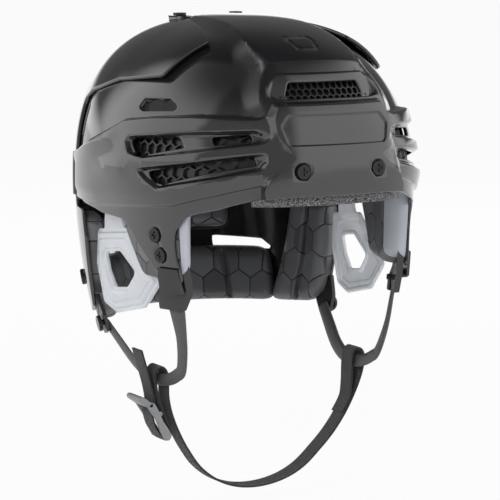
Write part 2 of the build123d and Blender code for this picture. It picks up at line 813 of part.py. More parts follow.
# Strap loops, from the front anchor down and back to the rear anchor
arc_start = -loop_front_angle
arc_sweep = loop_front_angle + loop_rear_angle
arc_angles = [radians(arc_start + arc_sweep * step / arc_steps) for step in range(arc_steps + 1)]
loop_route = [(u * loop_radius, v * loop_radius) for u, v in loop_side_shares]
loop_route += [(loop_radius * sin(angle), loop_radius * (1 - cos(angle))) for angle in arc_angles]
rear_run_x = loop_rear_run * cos(radians(loop_rear_angle))
rear_run_y = loop_rear_run * sin(radians(loop_rear_angle))
arc_end = loop_route[-1]
loop_route += [(arc_end[0] + rear_run_x * share, arc_end[1] + rear_run_y * share) for share in run_shares]


def pin_plane(shares, rise):
    """Plane on the head form at a pin, its normal looking out."""
    def skin(y, z):
        return Vector(-side_at(y, z, rise), y, z)

    return seat_on(skin, corner_radius, side_points([shares])[0])


def rod(plane, radius, start, end):
    with BuildPart() as body:
        with BuildSketch(plane.offset(start)):
            Circle(radius)
        extrude(amount=end - start)
    return body.part


front_pin_plane = pin_plane(anchor_pin_shares[0], -shell_wall - fit_gap)
rear_pin_plane = pin_plane(anchor_pin_shares[1], shell_gap - fit_gap)
front_pin_length = 2 * anchor_thickness + strap_thickness + rail_gap
strap_body = band(loop_plane, loop_route, strap_width, strap_thickness)
strap_room = band(loop_plane, loop_route, strap_width + 2 * fit_gap, strap_thickness + 2 * fit_gap)
v_loop = without(strap_body, rod(front_pin_plane, stud_pin_radius + fit_gap, strap_width, -strap_width))
save_pair(v_loop, "v_loop")

# Anchors
anchor_block = across(side_points(front_anchor_shares), vent_radius)
lip_block = across(side_points(front_lip_shares), vent_radius)
lip_form = head_form(fit_gap + anchor_lip)
with BuildPart() as right_half:
    Box(2 * half_width, 4 * front_reach, 4 * front_reach, align=(Align.MAX, Align.CENTER, Align.CENTER))
inner_plate = without(common(right_half.part, anchor_block, anchor_outer_form), anchor_deep_form)
lip = without(common(right_half.part, lip_block, lip_form), head_form(fit_gap))
with BuildPart() as tongue_block:
    with BuildSketch(Plane.YZ):
        with Locations(foot_point):
            Rectangle(slot_width - 2 * fit_gap, slot_height - 2 * fit_gap)
    extrude(amount=-half_width - overrun)
    with BuildSketch(Plane.YZ):
        with Locations((foot_point[0], front_foot_share * crown_height)):
            Rectangle(foot_block_width, foot_block_height)
    extrude(amount=-half_width - overrun)
tongue = without(common(tongue_block.part, lip_form), anchor_deep_form)
front_pin = common(rod(front_pin_plane, stud_pin_radius, 0, -front_pin_length), anchor_outer_form)
with BuildPart() as front_anchor:
    add(inner_plate)
    add(lip)
    add(tongue)
    add(strap_room, mode=Mode.SUBTRACT)
    add(front_pin)
save_pair(front_anchor.part, "front_strap_anchor")

rear_anchor_block = common(right_half.part, across(side_points(rear_anchor_shares), vent_radius))
rear_anchor = without(
    common(rear_anchor_block, head_form(shell_gap - fit_gap, adjust_travel)),
    rear_anchor_form,
    rod(rear_pin_plane, stud_pin_radius + fit_gap, strap_width, -strap_width),
    *[strap_room.moved(Location((0, -adjust_travel * share, 0))) for share in slide_shares],
)
save_pair(rear_anchor, "rear_strap_anchor")


def stud(plane, pin_length):
    """Domed head on the plane, and its pin inwards."""
    with BuildPart() as body:
        add(rod(plane, stud_radius, fit_gap, fit_gap + stud_height))
        rims = body.edges().filter_by(GeomType.CIRCLE)
        fillet(rims.sort_by_distance(plane.offset(overrun).origin)[0], stud_round)
        add(rod(plane, stud_pin_radius, fit_gap, -pin_length))
    return body.part


save_pair(stud(rear_pin_plane, anchor_thickness), "strap_stud")
save_pair(stud(stud_plane, shell_wall), "rear_stud")

# Chin strap and its buckle
chin_plane = Plane.XZ.offset(-loop_bottom.Y)
chin_route = [(x * half_width, z * crown_height) for x, z in chin_shares]
chin_webbing = band(chin_plane, chin_route, webbing_thickness, webbing_width)
with BuildPart() as chin_strap:
    add(chin_webbing)
    with BuildSketch(chin_plane):
        for x, z in stitch_shares:
            with Locations((x * half_width, z * crown_height)):
                Circle(webbing_thickness)
    extrude(amount=stitch_length / 2, both=True)
save(chin_strap.part, "chin_webbing")

bar_point, grip_point, lever_point = [(x * half_width, z * crown_height) for x, z in buckle_shares]
lever_tip = (lever_point[0] - lever_reach, lever_point[1] + lever_rise)
frame_reach = webbing_width / 2 + rail_gap + rail_thickness
with BuildPart() as buckle:
    for side in (-1, 1):
        with BuildSketch(chin_plane.offset(side * (webbing_width / 2 + rail_gap))):
            with Locations(bar_point, grip_point, lever_point):
                Circle(rail_width / 2)
            make_hull()
        extrude(amount=side * rail_thickness)
    with BuildSketch(chin_plane):
        with Locations(bar_point, grip_point, lever_point):
            Circle(bar_radius)
    extrude(amount=frame_reach, both=True)
    with BuildSketch(chin_plane):
        with Locations(lever_point):
            Circle(bar_radius)
        with Locations(lever_tip):
            Circle(lever_thickness / 2)
        make_hull()
    extrude(amount=frame_reach, both=True)
save(buckle.part, "buckle")


# Screws and nuts
def group(pieces):
    with BuildPart() as pack:
        for piece in pieces:
            add(piece)
    return pack.part


visor_length = shell_wall + 2 * nut_thickness
nut_depth = shell_wall - seat_depth + fit_gap
save(group([screw(plane, visor_length) for plane in visor_planes]), "visor_screws")
save(group([nut(plane, nut_depth) for plane in visor_planes]), "visor_nuts")
side_length = shell_wall - seat_depth + nut_thickness
save_pair(group([screw(plane, side_length) for plane in side_planes]), "side_screws")
save_pair(group([nut(plane, nut_depth) for plane in side_planes]), "side_nuts")
size_nut_top = crown_at(size_x + nut_radius, size_y + nut_radius, -shell_wall) - fit_gap
size_depth = boss_top - size_nut_top
save(group([screw(plane, size_depth + nut_thickness, fit_gap) for plane in size_planes]), "size_screws")
save(group([nut(plane, size_depth) for plane in size_planes]), "size_nuts")
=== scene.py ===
from functools import partial
from math import atan2, cos, pi, radians, sin

import bmesh
import bpy
import numpy as np
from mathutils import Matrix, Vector


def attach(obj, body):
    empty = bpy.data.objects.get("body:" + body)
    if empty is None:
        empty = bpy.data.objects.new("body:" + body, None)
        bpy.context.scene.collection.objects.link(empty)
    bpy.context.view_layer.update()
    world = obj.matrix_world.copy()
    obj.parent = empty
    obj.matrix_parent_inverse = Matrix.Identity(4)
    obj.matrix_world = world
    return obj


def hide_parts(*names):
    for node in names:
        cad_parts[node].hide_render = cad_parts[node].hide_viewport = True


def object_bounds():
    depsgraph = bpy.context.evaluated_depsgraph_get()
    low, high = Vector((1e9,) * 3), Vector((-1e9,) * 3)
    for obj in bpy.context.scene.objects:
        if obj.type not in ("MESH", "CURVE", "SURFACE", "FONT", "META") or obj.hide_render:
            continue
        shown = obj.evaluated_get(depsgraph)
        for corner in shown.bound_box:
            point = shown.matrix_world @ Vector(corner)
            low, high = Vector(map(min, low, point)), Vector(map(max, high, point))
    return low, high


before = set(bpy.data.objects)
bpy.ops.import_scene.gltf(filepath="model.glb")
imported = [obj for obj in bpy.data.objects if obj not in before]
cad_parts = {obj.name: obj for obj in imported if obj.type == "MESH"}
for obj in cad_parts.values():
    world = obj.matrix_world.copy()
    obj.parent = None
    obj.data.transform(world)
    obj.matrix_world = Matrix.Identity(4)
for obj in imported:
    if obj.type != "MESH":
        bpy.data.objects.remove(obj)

cad_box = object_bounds()
MM = 0.001

# Head form, in millimetres
HALF_WIDTH = 103.0
FRONT_REACH = 134.0
BACK_REACH = 131.0
CROWN_HEIGHT = 107.0
SKIRT_DEPTH = 100.0
SIDE_TUCK = 9.0
FRONT_TUCK = 2.0
NAPE_TUCK = 26.0
SIDE_POWER = 2.5
FRONT_POWER = 2.6
BACK_POWER = 2.85
PLAN_FRONT = (2.5, 2.1)
PLAN_BACK = (2.1, 2.0)
SHELL_WALL = 2.5
TRAVEL = 12.0


def reach(z, size, top, power, tuck):
    share = np.clip(z / top, 0, 0.999999)
    above = size * (1 - share**power) ** (1 / power)
    return np.where(z > 0, above, size - tuck * (z / SKIRT_DEPTH) ** 2)


def outside(p, rise, stretch=0.0):
    """Above 0 outside the head form, below 0 inside."""
    top = CROWN_HEIGHT + rise
    x, y, z = p[:, 0], p[:, 1], p[:, 2]
    side = reach(z, HALF_WIDTH + rise, top, SIDE_POWER, SIDE_TUCK)
    front = reach(z, FRONT_REACH + rise, top, FRONT_POWER, FRONT_TUCK)
    back = reach(z, BACK_REACH + rise, top, BACK_POWER, NAPE_TUCK)
    share = np.clip(z / top, 0, 1)
    y = np.where(y < 0, np.minimum(y + stretch, 0), y)
    ahead = PLAN_FRONT[0] + (PLAN_FRONT[1] - PLAN_FRONT[0]) * share
    behind = PLAN_BACK[0] + (PLAN_BACK[1] - PLAN_BACK[0]) * share
    power = np.where(y < 0, ahead, behind)
    length = np.where(y < 0, front, back)
    value = (np.abs(x) / side) ** power + (np.abs(y) / length) ** power - 1
    return np.where(z > top, 1.0, value)


def lay(points, rise=0.0, stretch=0.0):
    """Points moved along their rays onto the head form: level rays under the origin, rays from it above."""
    rise = np.broadcast_to(np.asarray(rise, float), len(points))
    foot = np.zeros_like(points)
    foot[:, 2] = np.minimum(points[:, 2], 0)
    ray = points - foot
    low = np.zeros(len(points))
    high = np.full(len(points), 2.0)
    for _ in range(26):
        middle = (low + high) / 2
        out = outside(foot + ray * middle[:, None], rise, stretch) > 0
        high = np.where(out, middle, high)
        low = np.where(out, low, middle)
    return foot + ray * ((low + high) / 2)[:, None]


# Outlines
def side_outline(shares):
    return [(y * FRONT_REACH, z * CROWN_HEIGHT) for y, z in shares]


def one_side_outline(shares):
    return [(x * HALF_WIDTH, z * CROWN_HEIGHT) for x, z in shares]


def mirrored(right):
    return right + [(-x, z) for x, z in reversed(right)]


def front_outline(shares):
    return mirrored(one_side_outline(shares))


def plan_outline(shares):
    return mirrored([(x * HALF_WIDTH, y * FRONT_REACH) for x, y in shares])


def rounded(outline, radius, steps=5):
    """Closed outline with its corners replaced by arcs."""
    points = [Vector(p) for p in outline]
    result = []
    for i, corner in enumerate(points):
        before = points[i - 1] - corner
        after = points[(i + 1) % len(points)] - corner
        turn = before.angle(after)
        if turn > radians(172):
            result.append(corner)
            continue
        tangent = min(radius / np.tan(turn / 2), before.length * 0.45, after.length * 0.45)
        start = corner + before.normalized() * tangent
        end = corner + after.normalized() * tangent
        for k in range(steps + 1):
            t = k / steps
            result.append(start * (1 - t) ** 2 + corner * 2 * t * (1 - t) + end * t * t)
    return np.array([tuple(p) for p in result])


def distance(outline, plane_points):
    """Signed distance to a closed outline, negative inside."""
    a = np.asarray(outline, float)
    b = np.roll(a, -1, axis=0)
    best = np.full(len(plane_points), 1e9)
    inside = np.zeros(len(plane_points), bool)
    px, py = plane_points[:, 0], plane_points[:, 1]
    for (ax, ay), (bx, by) in zip(a, b):
        dx, dy = bx - ax, by - ay
        length = dx * dx + dy * dy
        if length < 1e-12:
            continue
        t = np.clip(((px - ax) * dx + (py - ay) * dy) / length, 0, 1)
        best = np.minimum(best, (px - ax - t * dx) ** 2 + (py - ay - t * dy) ** 2)
        crosses = (ay > py) != (by > py)
        if dy:
            inside ^= crosses & (px < ax + (py - ay) * dx / dy)
    return np.where(inside, -1, 1) * np.sqrt(best)


SIDE, FRONT, BACK, TOP = "side", "front", "back", "top"
FAR = 60.0


def region(outline, view, rise=0.0, radius=3.0, stretch=0.0, limit=-40.0):
    """Signed distance of laid points to an outline seen in one view."""
    line = rounded(outline, radius) if radius else np.asarray(outline, float)

    def field(points):
        q = lay(points, rise, stretch) if rise or stretch else points
        if view == SIDE:
            return distance(line, q[:, 1:3])
        if view == TOP:
            return np.where(q[:, 2] > 20, distance(line, q[:, 0:2]), FAR)
        flat = np.stack([q[:, 0], q[:, 2]], axis=1)
        if view == FRONT:
            return np.where(q[:, 1] < limit, distance(line, flat), FAR)
        return np.where(q[:, 1] > -limit, distance(line, flat), FAR)

    return field


def either(*fields):
    return lambda points: np.minimum.reduce([field(points) for field in fields])


def both(*fields):
    return lambda points: np.maximum.reduce([field(points) for field in fields])


def outside_of(field):
    return lambda points: -field(points)


def ramp(value, start, end):
    """0 where value is at start, 1 at end, smooth between."""
    t = np.clip((value - start) / (end - start), 0, 1)
    return t * t * (3 - 2 * t)


# Mesh split along outlines
SNAP = 0.04


def split(points, triangles, field, values, settle):
    """Triangles cut along the lines where field has each of the values."""
    level = field(points)
    for value in values:
        s = level - value
        s = np.where(np.abs(s) < SNAP, 0, s)
        sign = np.sign(s).astype(int)
        corner = sign[triangles]
        crossed = (corner.min(axis=1) < 0) & (corner.max(axis=1) > 0)
        if not crossed.any():
            continue
        whole = triangles[~crossed]
        cut = triangles[crossed]
        corner = corner[crossed]
        has_zero = (corner == 0).any(axis=1)
        odd = np.argmax(corner == -np.sign(corner.sum(axis=1))[:, None], axis=1)
        lone = np.where(has_zero, np.argmax(corner == 0, axis=1), odd)
        order = (lone[:, None] + np.arange(3)) % 3
        cut = np.take_along_axis(cut, order, axis=1)
        a, b, c = cut[:, 0], cut[:, 1], cut[:, 2]
        first = np.where(has_zero, b, a)
        second = np.where(has_zero, c, b)
        third_a, third_b = c[~has_zero], a[~has_zero]
        starts = np.concatenate([first, third_a])
        ends = np.concatenate([second, third_b])
        low, high = np.minimum(starts, ends), np.maximum(starts, ends)
        keys, index = np.unique(low * len(points) + high, return_inverse=True)
        p, q = keys // len(points), keys % len(points)
        t = s[p] / (s[p] - s[q])
        fresh = settle(points[p] * (1 - t)[:, None] + points[q] * t[:, None])
        miss = field(fresh) - value
        left = np.sign(miss) == np.sign(s[p])
        base = np.where(left, s[q], s[p])
        step = miss / (miss - base + 1e-12)
        share = np.where(left, t + (1 - t) * step, t - t * step)
        share = np.clip(share, 0.001, 0.999)
        fresh = settle(points[p] * (1 - share)[:, None] + points[q] * share[:, None])
        ids = len(points) + index.reshape(-1)
        points = np.concatenate([points, fresh])
        level = np.concatenate([level, np.full(len(fresh), value, float)])
        m = ids[: len(cut)]
        n = ids[len(cut):]
        az, bz, cz, mz = a[has_zero], b[has_zero], c[has_zero], m[has_zero]
        al, bl, cl, ml = a[~has_zero], b[~has_zero], c[~has_zero], m[~has_zero]
        parts = [
            whole,
            np.stack([az, bz, mz], axis=1),
            np.stack([az, mz, cz], axis=1),
            np.stack([al, ml, n], axis=1),
            np.stack([ml, bl, cl], axis=1),
            np.stack([ml, cl, n], axis=1),
        ]
        triangles = np.concatenate(parts)
    return points, triangles


GRID_SPREAD = 110.0


def grid(around, below, above, bottom):
    """Closed band of triangles over the whole head form, from a depth below the origin to the top."""
    angles = 2 * pi * np.arange(around) / around
    rings = [(GRID_SPREAD, bottom * (1 - k / below)) for k in range(below)]
    for k in range(above):
        tilt = pi / 2 * k / above
        rings.append((GRID_SPREAD * cos(tilt), GRID_SPREAD * sin(tilt)))
    rows = [np.stack([r * np.cos(angles), r * np.sin(angles), np.full(around, z)], axis=1) for r, z in rings]
    points = np.concatenate(rows + [np.array([[0, 0, GRID_SPREAD]])])
    triangles = []
    for k in range(len(rows) - 1):
        for i in range(around):
            a = k * around + i
            b = k * around + (i + 1) % around
            c, d = a + around, b + around
            triangles += [(a, b, d), (a, d, c)] if (k + i) % 2 else [(a, b, c), (b, d, c)]
    last = (len(rows) - 1) * around
    for i in range(around):
        triangles.append((last + i, last + (i + 1) % around, len(points) - 1))
    return points, np.array(triangles)


def border(triangles):
    """Directed edges that have one triangle only."""
    edges = np.concatenate([triangles[:, [0, 1]], triangles[:, [1, 2]], triangles[:, [2, 0]]])
    size = triangles.max() + 1
    forward = edges[:, 0] * size + edges[:, 1]
    backward = edges[:, 1] * size + edges[:, 0]
    return edges[~np.isin(forward, backward)]


def placed(name, mesh, finish, smooth=True):
    """New object of a mesh, with one material."""
    mesh.materials.append(finish)
    mesh.polygons.foreach_set("use_smooth", [smooth] * len(mesh.polygons))
    obj = bpy.data.objects.new(name, mesh)
    bpy.context.collection.objects.link(obj)
    return obj


def make_object(name, points, faces, finish, smooth=True):
    mesh = bpy.data.meshes.new(name)
    mesh.from_pydata((np.asarray(points) * MM).tolist(), [], [tuple(int(i) for i in f) for f in faces])
    mesh.update()
    return placed(name, mesh, finish, smooth)


EDGE_LINES = (-1.1, -0.8, -0.5, -0.2, 0.0)
EDGE_ROUND = 0.8


def edge_dip(away):
    """Depth that the rounded edge falls away by, from the distance to the edge."""
    turn = np.clip((away + EDGE_ROUND) / EDGE_ROUND, 0, 1)
    return EDGE_ROUND * (1 - np.sqrt(np.clip(1 - turn**2, 0, 1)))


def carve(points, triangles, kept, features, edge_lines, settle):
    """Cut along the features and the edge, and drop what lies outside."""
    for field, values in features:
        points, triangles = split(points, triangles, field, values, settle)
    points, triangles = split(points, triangles, kept, edge_lines, settle)
    away = kept(points)
    middle = away[triangles].mean(axis=1)
    triangles = triangles[(away[triangles].max(axis=1) <= SNAP * 2) & (middle < 0)]
    used, triangles = np.unique(triangles, return_inverse=True)
    return points[used], triangles.reshape(-1, 3), away[used]


def skin(name, outer, inner, triangles, material):
    """Closed piece from an outer and an inner surface on the same triangles."""
    count = len(outer)
    rim = border(triangles)
    faces = [tuple(t) for t in triangles]
    faces += [(t[2] + count, t[1] + count, t[0] + count) for t in triangles]
    faces += [(b, a, a + count, b + count) for a, b in rim]
    return make_object(name, np.concatenate([outer, inner]), faces, material)


def form_mesh(kept, features, edge_lines, level, stretch, around, rows, bottom):
    def settle(points):
        return lay(points, level, stretch)

    points, triangles = grid(around, rows[0], rows[1], bottom)
    points = settle(points)
    near = (kept(points)[triangles] < 12).any(axis=1)
    return carve(points, triangles[near], kept, features, edge_lines, settle)


def shell(name, kept, features, heights, material, stretch=0.0, level=0.0):
    """Moulded shell: kept is its outline, features the lines to cut, heights the relief at each point."""
    points, triangles, away = form_mesh(kept, features, EDGE_LINES, level, stretch, 176, (26, 44), -104.0)
    rise = heights(points)
    dip = edge_dip(away)
    outer = lay(points, level + rise - dip, stretch)
    inner = lay(points, level + np.maximum(rise, 0) - SHELL_WALL + dip * 0.6, stretch)
    return skin(name, outer, inner, triangles, material)


# Shader nodes and materials
def put(tree, socket, value):
    """Set a socket to a value, or link it to another node's output."""
    if isinstance(value, bpy.types.NodeSocket):
        tree.links.new(value, socket)
    else:
        socket.default_value = value


def node(tree, kind, *inputs, **values):
    """New shader node: inputs fill its sockets in order, values its sockets and settings by name."""
    made = tree.nodes.new("ShaderNode" + kind)
    for key, value in values.items():
        socket_name = key.replace("_", " ")
        if socket_name in made.inputs:
            put(tree, made.inputs[socket_name], value)
        else:
            setattr(made, key, value)
    for socket, value in zip(made.inputs, inputs):
        put(tree, socket, value)
    return made


def maths(tree, operation, *inputs):
    return node(tree, "Math", *inputs, operation=operation).outputs["Value"]


def vector_maths(tree, operation, *inputs):
    made = node(tree, "VectorMath", *inputs, operation=operation)
    return made.outputs["Value" if operation in ("LENGTH", "DOT_PRODUCT") else "Vector"]


def smooth_range(tree, value, start, end, low=0.0, high=1.0):
    values = {"Value": value, "From_Min": start, "From_Max": end, "To_Min": low, "To_Max": high}
    return node(tree, "MapRange", interpolation_type="SMOOTHSTEP", **values).outputs["Result"]


# Sockets of the Mix node: its two ends and its result
MIX_SOCKETS = {"VECTOR": (4, 5, 1), "RGBA": (6, 7, 2)}


def mixed(tree, share, low, high, kind="RGBA"):
    made = node(tree, "Mix", share, data_type=kind)
    first, second, result = MIX_SOCKETS[kind]
    put(tree, made.inputs[first], low)
    put(tree, made.inputs[second], high)
    return made.outputs[result]


def noise(tree, scale, detail):
    place = node(tree, "TexCoord").outputs["Object"]
    return node(tree, "TexNoise", place, Scale=scale, Detail=detail).outputs["Fac"]


def bumped(tree, height, strength, depth, **under):
    return node(tree, "Bump", Height=height, Strength=strength, Distance=depth, **under).outputs["Normal"]


SPECKLE_DETAIL = 3.0
GRAIN_DETAIL = 2.0


def material(name, color, roughness, speckle=None, grain=None, **sockets):
    """Principled material.

    speckle is the scale and the two ends of a noise in the roughness.
    grain is the scale, strength and depth of a fine bump.
    """
    mat = bpy.data.materials.new(name)
    mat.use_nodes = True
    tree = mat.node_tree
    shader = tree.nodes["Principled BSDF"]
    put(tree, shader.inputs["Base Color"], (*color, 1))
    put(tree, shader.inputs["Roughness"], roughness)
    for key, value in sockets.items():
        put(tree, shader.inputs[key.replace("_", " ")], value)
    if speckle:
        scale, low, high = speckle
        spread = node(tree, "MapRange", Value=noise(tree, scale, SPECKLE_DETAIL), To_Min=low, To_Max=high)
        put(tree, shader.inputs["Roughness"], spread.outputs["Result"])
    if grain:
        scale, strength, depth = grain
        put(tree, shader.inputs["Normal"], bumped(tree, noise(tree, scale, GRAIN_DETAIL), strength, depth))
    return mat


gloss_black = material(
    "gloss_black", (0.015, 0.015, 0.0165), 0.1, (60.0, 0.09, 0.13), (14.0, 0.06, 0.001),
    Specular_IOR_Level=0.7, Coat_Weight=0.6, Coat_Roughness=0.05,
)

# Front shell
FRONT_LINE = side_outline((
    (-1.194, 0.009), (-0.978, 0.007), (-0.933, -0.006), (-0.851, -0.050), (-0.806, -0.075),
    (-0.701, -0.112), (-0.649, -0.150), (-0.604, -0.224), (-0.593, -0.290), (-0.597, -0.383),
    (-0.634, -0.551), (-0.493, -0.528), (-0.254, -0.234), (-0.194, -0.196), (0.030, -0.187),
    (0.112, -0.173), (0.428, -0.154), (0.463, -0.084), (0.672, -0.084), (0.672, 0.411), (0.463, 0.561),
    (0.463, 1.215), (-1.194, 1.215),
))
BELT = side_outline((
    (0.428, -0.140), (0.060, -0.140), (-0.381, -0.093), (-0.604, -0.075), (-0.828, 0.009), (-0.963, 0.075),
    (-1.000, 0.206), (-1.194, 0.224), (-1.194, 0.551), (-0.918, 0.551), (-0.896, 0.481), (-0.694, 0.486),
    (-0.433, 0.463), (-0.209, 0.430), (-0.090, 0.364), (0.299, 0.196), (0.428, 0.159),
))
UPPER_FIELD = side_outline((
    (-0.254, 0.327), (-0.649, 0.383), (-0.910, 0.407), (-0.948, 0.374), (-0.940, 0.327), (-0.739, 0.271),
    (-0.418, 0.206), (-0.299, 0.224),
))
LOWER_FIELD = side_outline((
    (-0.366, 0.140), (-0.530, 0.173), (-0.746, 0.215), (-0.955, 0.271), (-0.963, 0.224), (-0.955, 0.168),
    (-0.821, 0.112), (-0.530, 0.028), (-0.448, 0.075),
))
SIDE_VENTS = [side_outline(shares) for shares in (
    ((-0.276, 0.299), (-0.328, 0.318), (-0.597, 0.346), (-0.649, 0.290), (-0.343, 0.206)),
    ((-0.746, 0.355), (-0.873, 0.374), (-0.888, 0.336), (-0.769, 0.308)),
    ((-0.433, 0.121), (-0.485, 0.136), (-0.903, 0.243), (-0.918, 0.196), (-0.537, 0.056), (-0.478, 0.065)),
    ((-0.284, 0.561), (-0.463, 0.570), (-0.522, 0.533), (-0.522, 0.505), (-0.306, 0.486), (-0.261, 0.505)),
    ((0.321, 0.467), (0.358, 0.467), (0.381, 0.271), (0.343, 0.262)),
)]
PLATE = front_outline((
    (0.369, 0.547), (0.408, 0.463), (0.403, 0.379), (0.374, 0.318), (0.301, 0.248), (0.471, 0.112),
    (0.500, 0.047), (0.495, -0.028), (0.485, -0.2),
))
PLATE_FOOT = front_outline((
    (0.388, 0.575), (0.451, 0.486), (0.440, 0.430), (0.447, 0.336), (0.461, 0.290), (0.481, 0.240),
    (0.515, 0.075), (0.519, -0.028), (0.515, -0.2),
))
RECESS = front_outline(((0.330, 0.495), (0.383, 0.430), (0.350, 0.313)))
WINDOW = front_outline(((0.248, 0.680), (0.291, 0.598)))
FRAME = front_outline(((0.320, 0.727), (0.408, 0.593)))
CROWN = plan_outline((
    (0.252, 0.172), (0.262, 0.000), (0.291, -0.343), (0.359, -0.642), (0.350, -0.746), (0.447, -0.843),
    (0.447, -1.194),
))
BADGE = [(-9.0, -81.0), (9.0, -81.0), (7.0, -97.0), (-7.0, -97.0)]
VISOR_SCREWS = [(-27.8, 17.0), (27.8, 17.0)]
SIDE_SCREWS = [(-63.0, -28.0), (-67.0, -41.0)]
SCREW_HOLE = 3.0
LEG_SLOT = [(-80.5, -53.0), (-65.5, -53.0), (-65.5, -49.0), (-80.5, -49.0)]
BELT_RISE = 4.5
FIELD_RISE = 1.0
PLATE_RISE = 8.0
FOOT_RISE = 6.0
CROWN_RISE = 4.0
CROWN_SKIRT = 12.0
FRAME_RISE = 5.0
FRAME_TOP = 6.4
FRAME_FALL = 6.0
BELT_LEDGE = 9.0
BELT_LEDGE_DROP = 2.2
CREASES = (((-20.0, 33.4), (42.0, 17.2)), ((-35.0, 13.2), (8.0, 9.2)))
CREASE_HALF = 9.0
CREASE_RISE = 1.1


def discs(centers, radius, view, rise=0.0):
    """Round regions at places seen in one view."""
    turns = np.linspace(0, 2 * pi, 33)[:-1]
    lines = [[(u + radius * cos(a), v + radius * sin(a)) for a in turns] for u, v in centers]
    return either(*[region(line, view, rise=rise, radius=0) for line in lines])


front_side = region(FRONT_LINE, SIDE, radius=4.0)
belt_edge = region(BELT, SIDE, rise=BELT_RISE, radius=3.0)
upper_field = region(UPPER_FIELD, SIDE, rise=BELT_RISE, radius=3.0)
lower_field = region(LOWER_FIELD, SIDE, rise=BELT_RISE, radius=3.0)
plate_edge = region(PLATE, FRONT, rise=PLATE_RISE, radius=2.0)
plate_foot = region(PLATE_FOOT, FRONT, rise=FOOT_RISE, radius=3.0)
recess_edge = region(RECESS, FRONT, rise=PLATE_RISE, radius=3.0)
frame_edge = region(FRAME, FRONT, rise=FRAME_RISE, radius=3.0)
crown_edge = region(CROWN, TOP, rise=CROWN_RISE, radius=8.0)
badge_edge = region(BADGE, TOP, rise=CROWN_RISE, radius=1.5)
window_hole = region(WINDOW, FRONT, rise=CROWN_RISE, radius=2.0)
side_holes = [region(line, SIDE, rise=FIELD_RISE, radius=1.6) for line in SIDE_VENTS]
leg_hole = region(LEG_SLOT, SIDE, radius=1.0)
visor_seats = discs(VISOR_SCREWS, 5.6, FRONT, PLATE_RISE)
visor_holes = discs(VISOR_SCREWS, SCREW_HOLE, FRONT, PLATE_RISE)
side_seats = discs(SIDE_SCREWS, 5.4, SIDE)
side_screw_holes = discs(SIDE_SCREWS, SCREW_HOLE, SIDE)
front_kept = both(
    front_side,
    *[outside_of(hole) for hole in (window_hole, leg_hole, visor_holes, side_screw_holes, *side_holes)],
)


def belt_field(points):
    s = belt_edge(points)
    return s * (1 - 0.62 * ramp(points[:, 2], 8.0, 22.0))


def crease_field(start, end):
    """Distance above a line on the sides of the helmet."""
    run = (np.array(end) - start) / np.linalg.norm(np.array(end) - start)
    return lambda points: (points[:, 2] - start[1]) * run[0] - (points[:, 1] - start[0]) * run[1]


def crease_ridge(points, start, end):
    """Moulded crest along a crease line, fading at its ends."""
    length = np.linalg.norm(np.array(end) - start)
    run = (np.array(end) - start) / length
    share = ((points[:, 1] - start[0]) * run[0] + (points[:, 2] - start[1]) * run[1]) / length
    fade = ramp(share, -0.12, 0.15) * ramp(share, 1.1, 0.45)
    crest = 1 - np.clip(np.abs(crease_field(start, end)(points)) / CREASE_HALF, 0, 1)
    return CREASE_RISE * crest * fade


def plate_share(points):
    """0 at the chamfer's foot, 1 on the plate."""
    foot = np.maximum(-plate_foot(points), 0)
    top = np.maximum(plate_edge(points), 0)
    return foot / (foot + top + 1e-6)


def front_heights(points):
    on_belt = ramp(belt_field(points), 0.7, -0.7)
    ledge = 1 - np.clip(-belt_edge(points) / BELT_LEDGE, 0, 1)
    ledge = ledge * ramp(points[:, 2], 14.0, 4.0)
    rise = on_belt * (BELT_RISE - BELT_LEDGE_DROP * ledge)
    for crease in CREASES:
        rise = rise + on_belt * crease_ridge(points, *crease)
    crown = CROWN_RISE * np.clip((CROWN_SKIRT - crown_edge(points)) / 12.6, 0, 1) ** 1.4
    rise = np.maximum(rise, crown)
    for field in (upper_field, lower_field):
        sunk = ramp(field(points), 0.6, -2.2)
        rise = rise * (1 - sunk) + FIELD_RISE * sunk
    brim = frame_edge(points)
    above_brim = np.where((points[:, 2] > 77.0) & (points[:, 1] < 0), ramp(brim, 26.0, 0.0), 0.0)
    rise = rise + 2.2 * above_brim * ramp(crown_edge(points), 1.0, -3.0)
    fall = np.clip((78.5 - points[:, 2]) / 17.0, 0, 1)
    facet = FRAME_TOP - FRAME_FALL * fall
    inside_frame = ramp(brim, 0.8, -0.4)
    rise = rise * (1 - inside_frame) + facet * inside_frame
    share = plate_share(points)
    rise = rise * (1 - share) + np.maximum(rise, PLATE_RISE) * share
    rise = rise - 1.5 * ramp(recess_edge(points), 0.3, -0.8)
    rise = rise - 1.0 * ramp(visor_seats(points), 0.5, -0.4) - 0.8 * ramp(side_seats(points), 0.5, -0.4)
    return rise - 0.45 * (1 - ramp(np.abs(badge_edge(points)), 0.15, 0.7))


FIELD_LINES = (0.8, 0.2, -0.6, -1.5, -2.4)
PLATE_LINES = (0.5, 0.0, -0.5)
SEAT_LINES = (0.7, 0.2, -0.3)
front_features = [
    (belt_field, (1.0, 0.6, 0.2, -0.2, -0.6, -1.0, -BELT_LEDGE)),
    (crown_edge, (CROWN_SKIRT, 8.0, 4.0, 1.0, -0.6)),
    (upper_field, FIELD_LINES),
    (lower_field, FIELD_LINES),
    (frame_edge, (9.0, 1.0, 0.3, -0.3, -0.9)),
    (plate_foot, PLATE_LINES),
    (plate_edge, PLATE_LINES),
    (recess_edge, (0.6, 0.2, -0.25, -0.7, -1.1)),
    (visor_seats, SEAT_LINES),
    (side_seats, SEAT_LINES),
    (badge_edge, (0.8, 0.4, 0.0, -0.4, -0.8)),
] + [(crease_field(*crease), (0.0,)) for crease in CREASES]
front_shell = shell("shell_front", front_kept, front_features, front_heights, gloss_black)

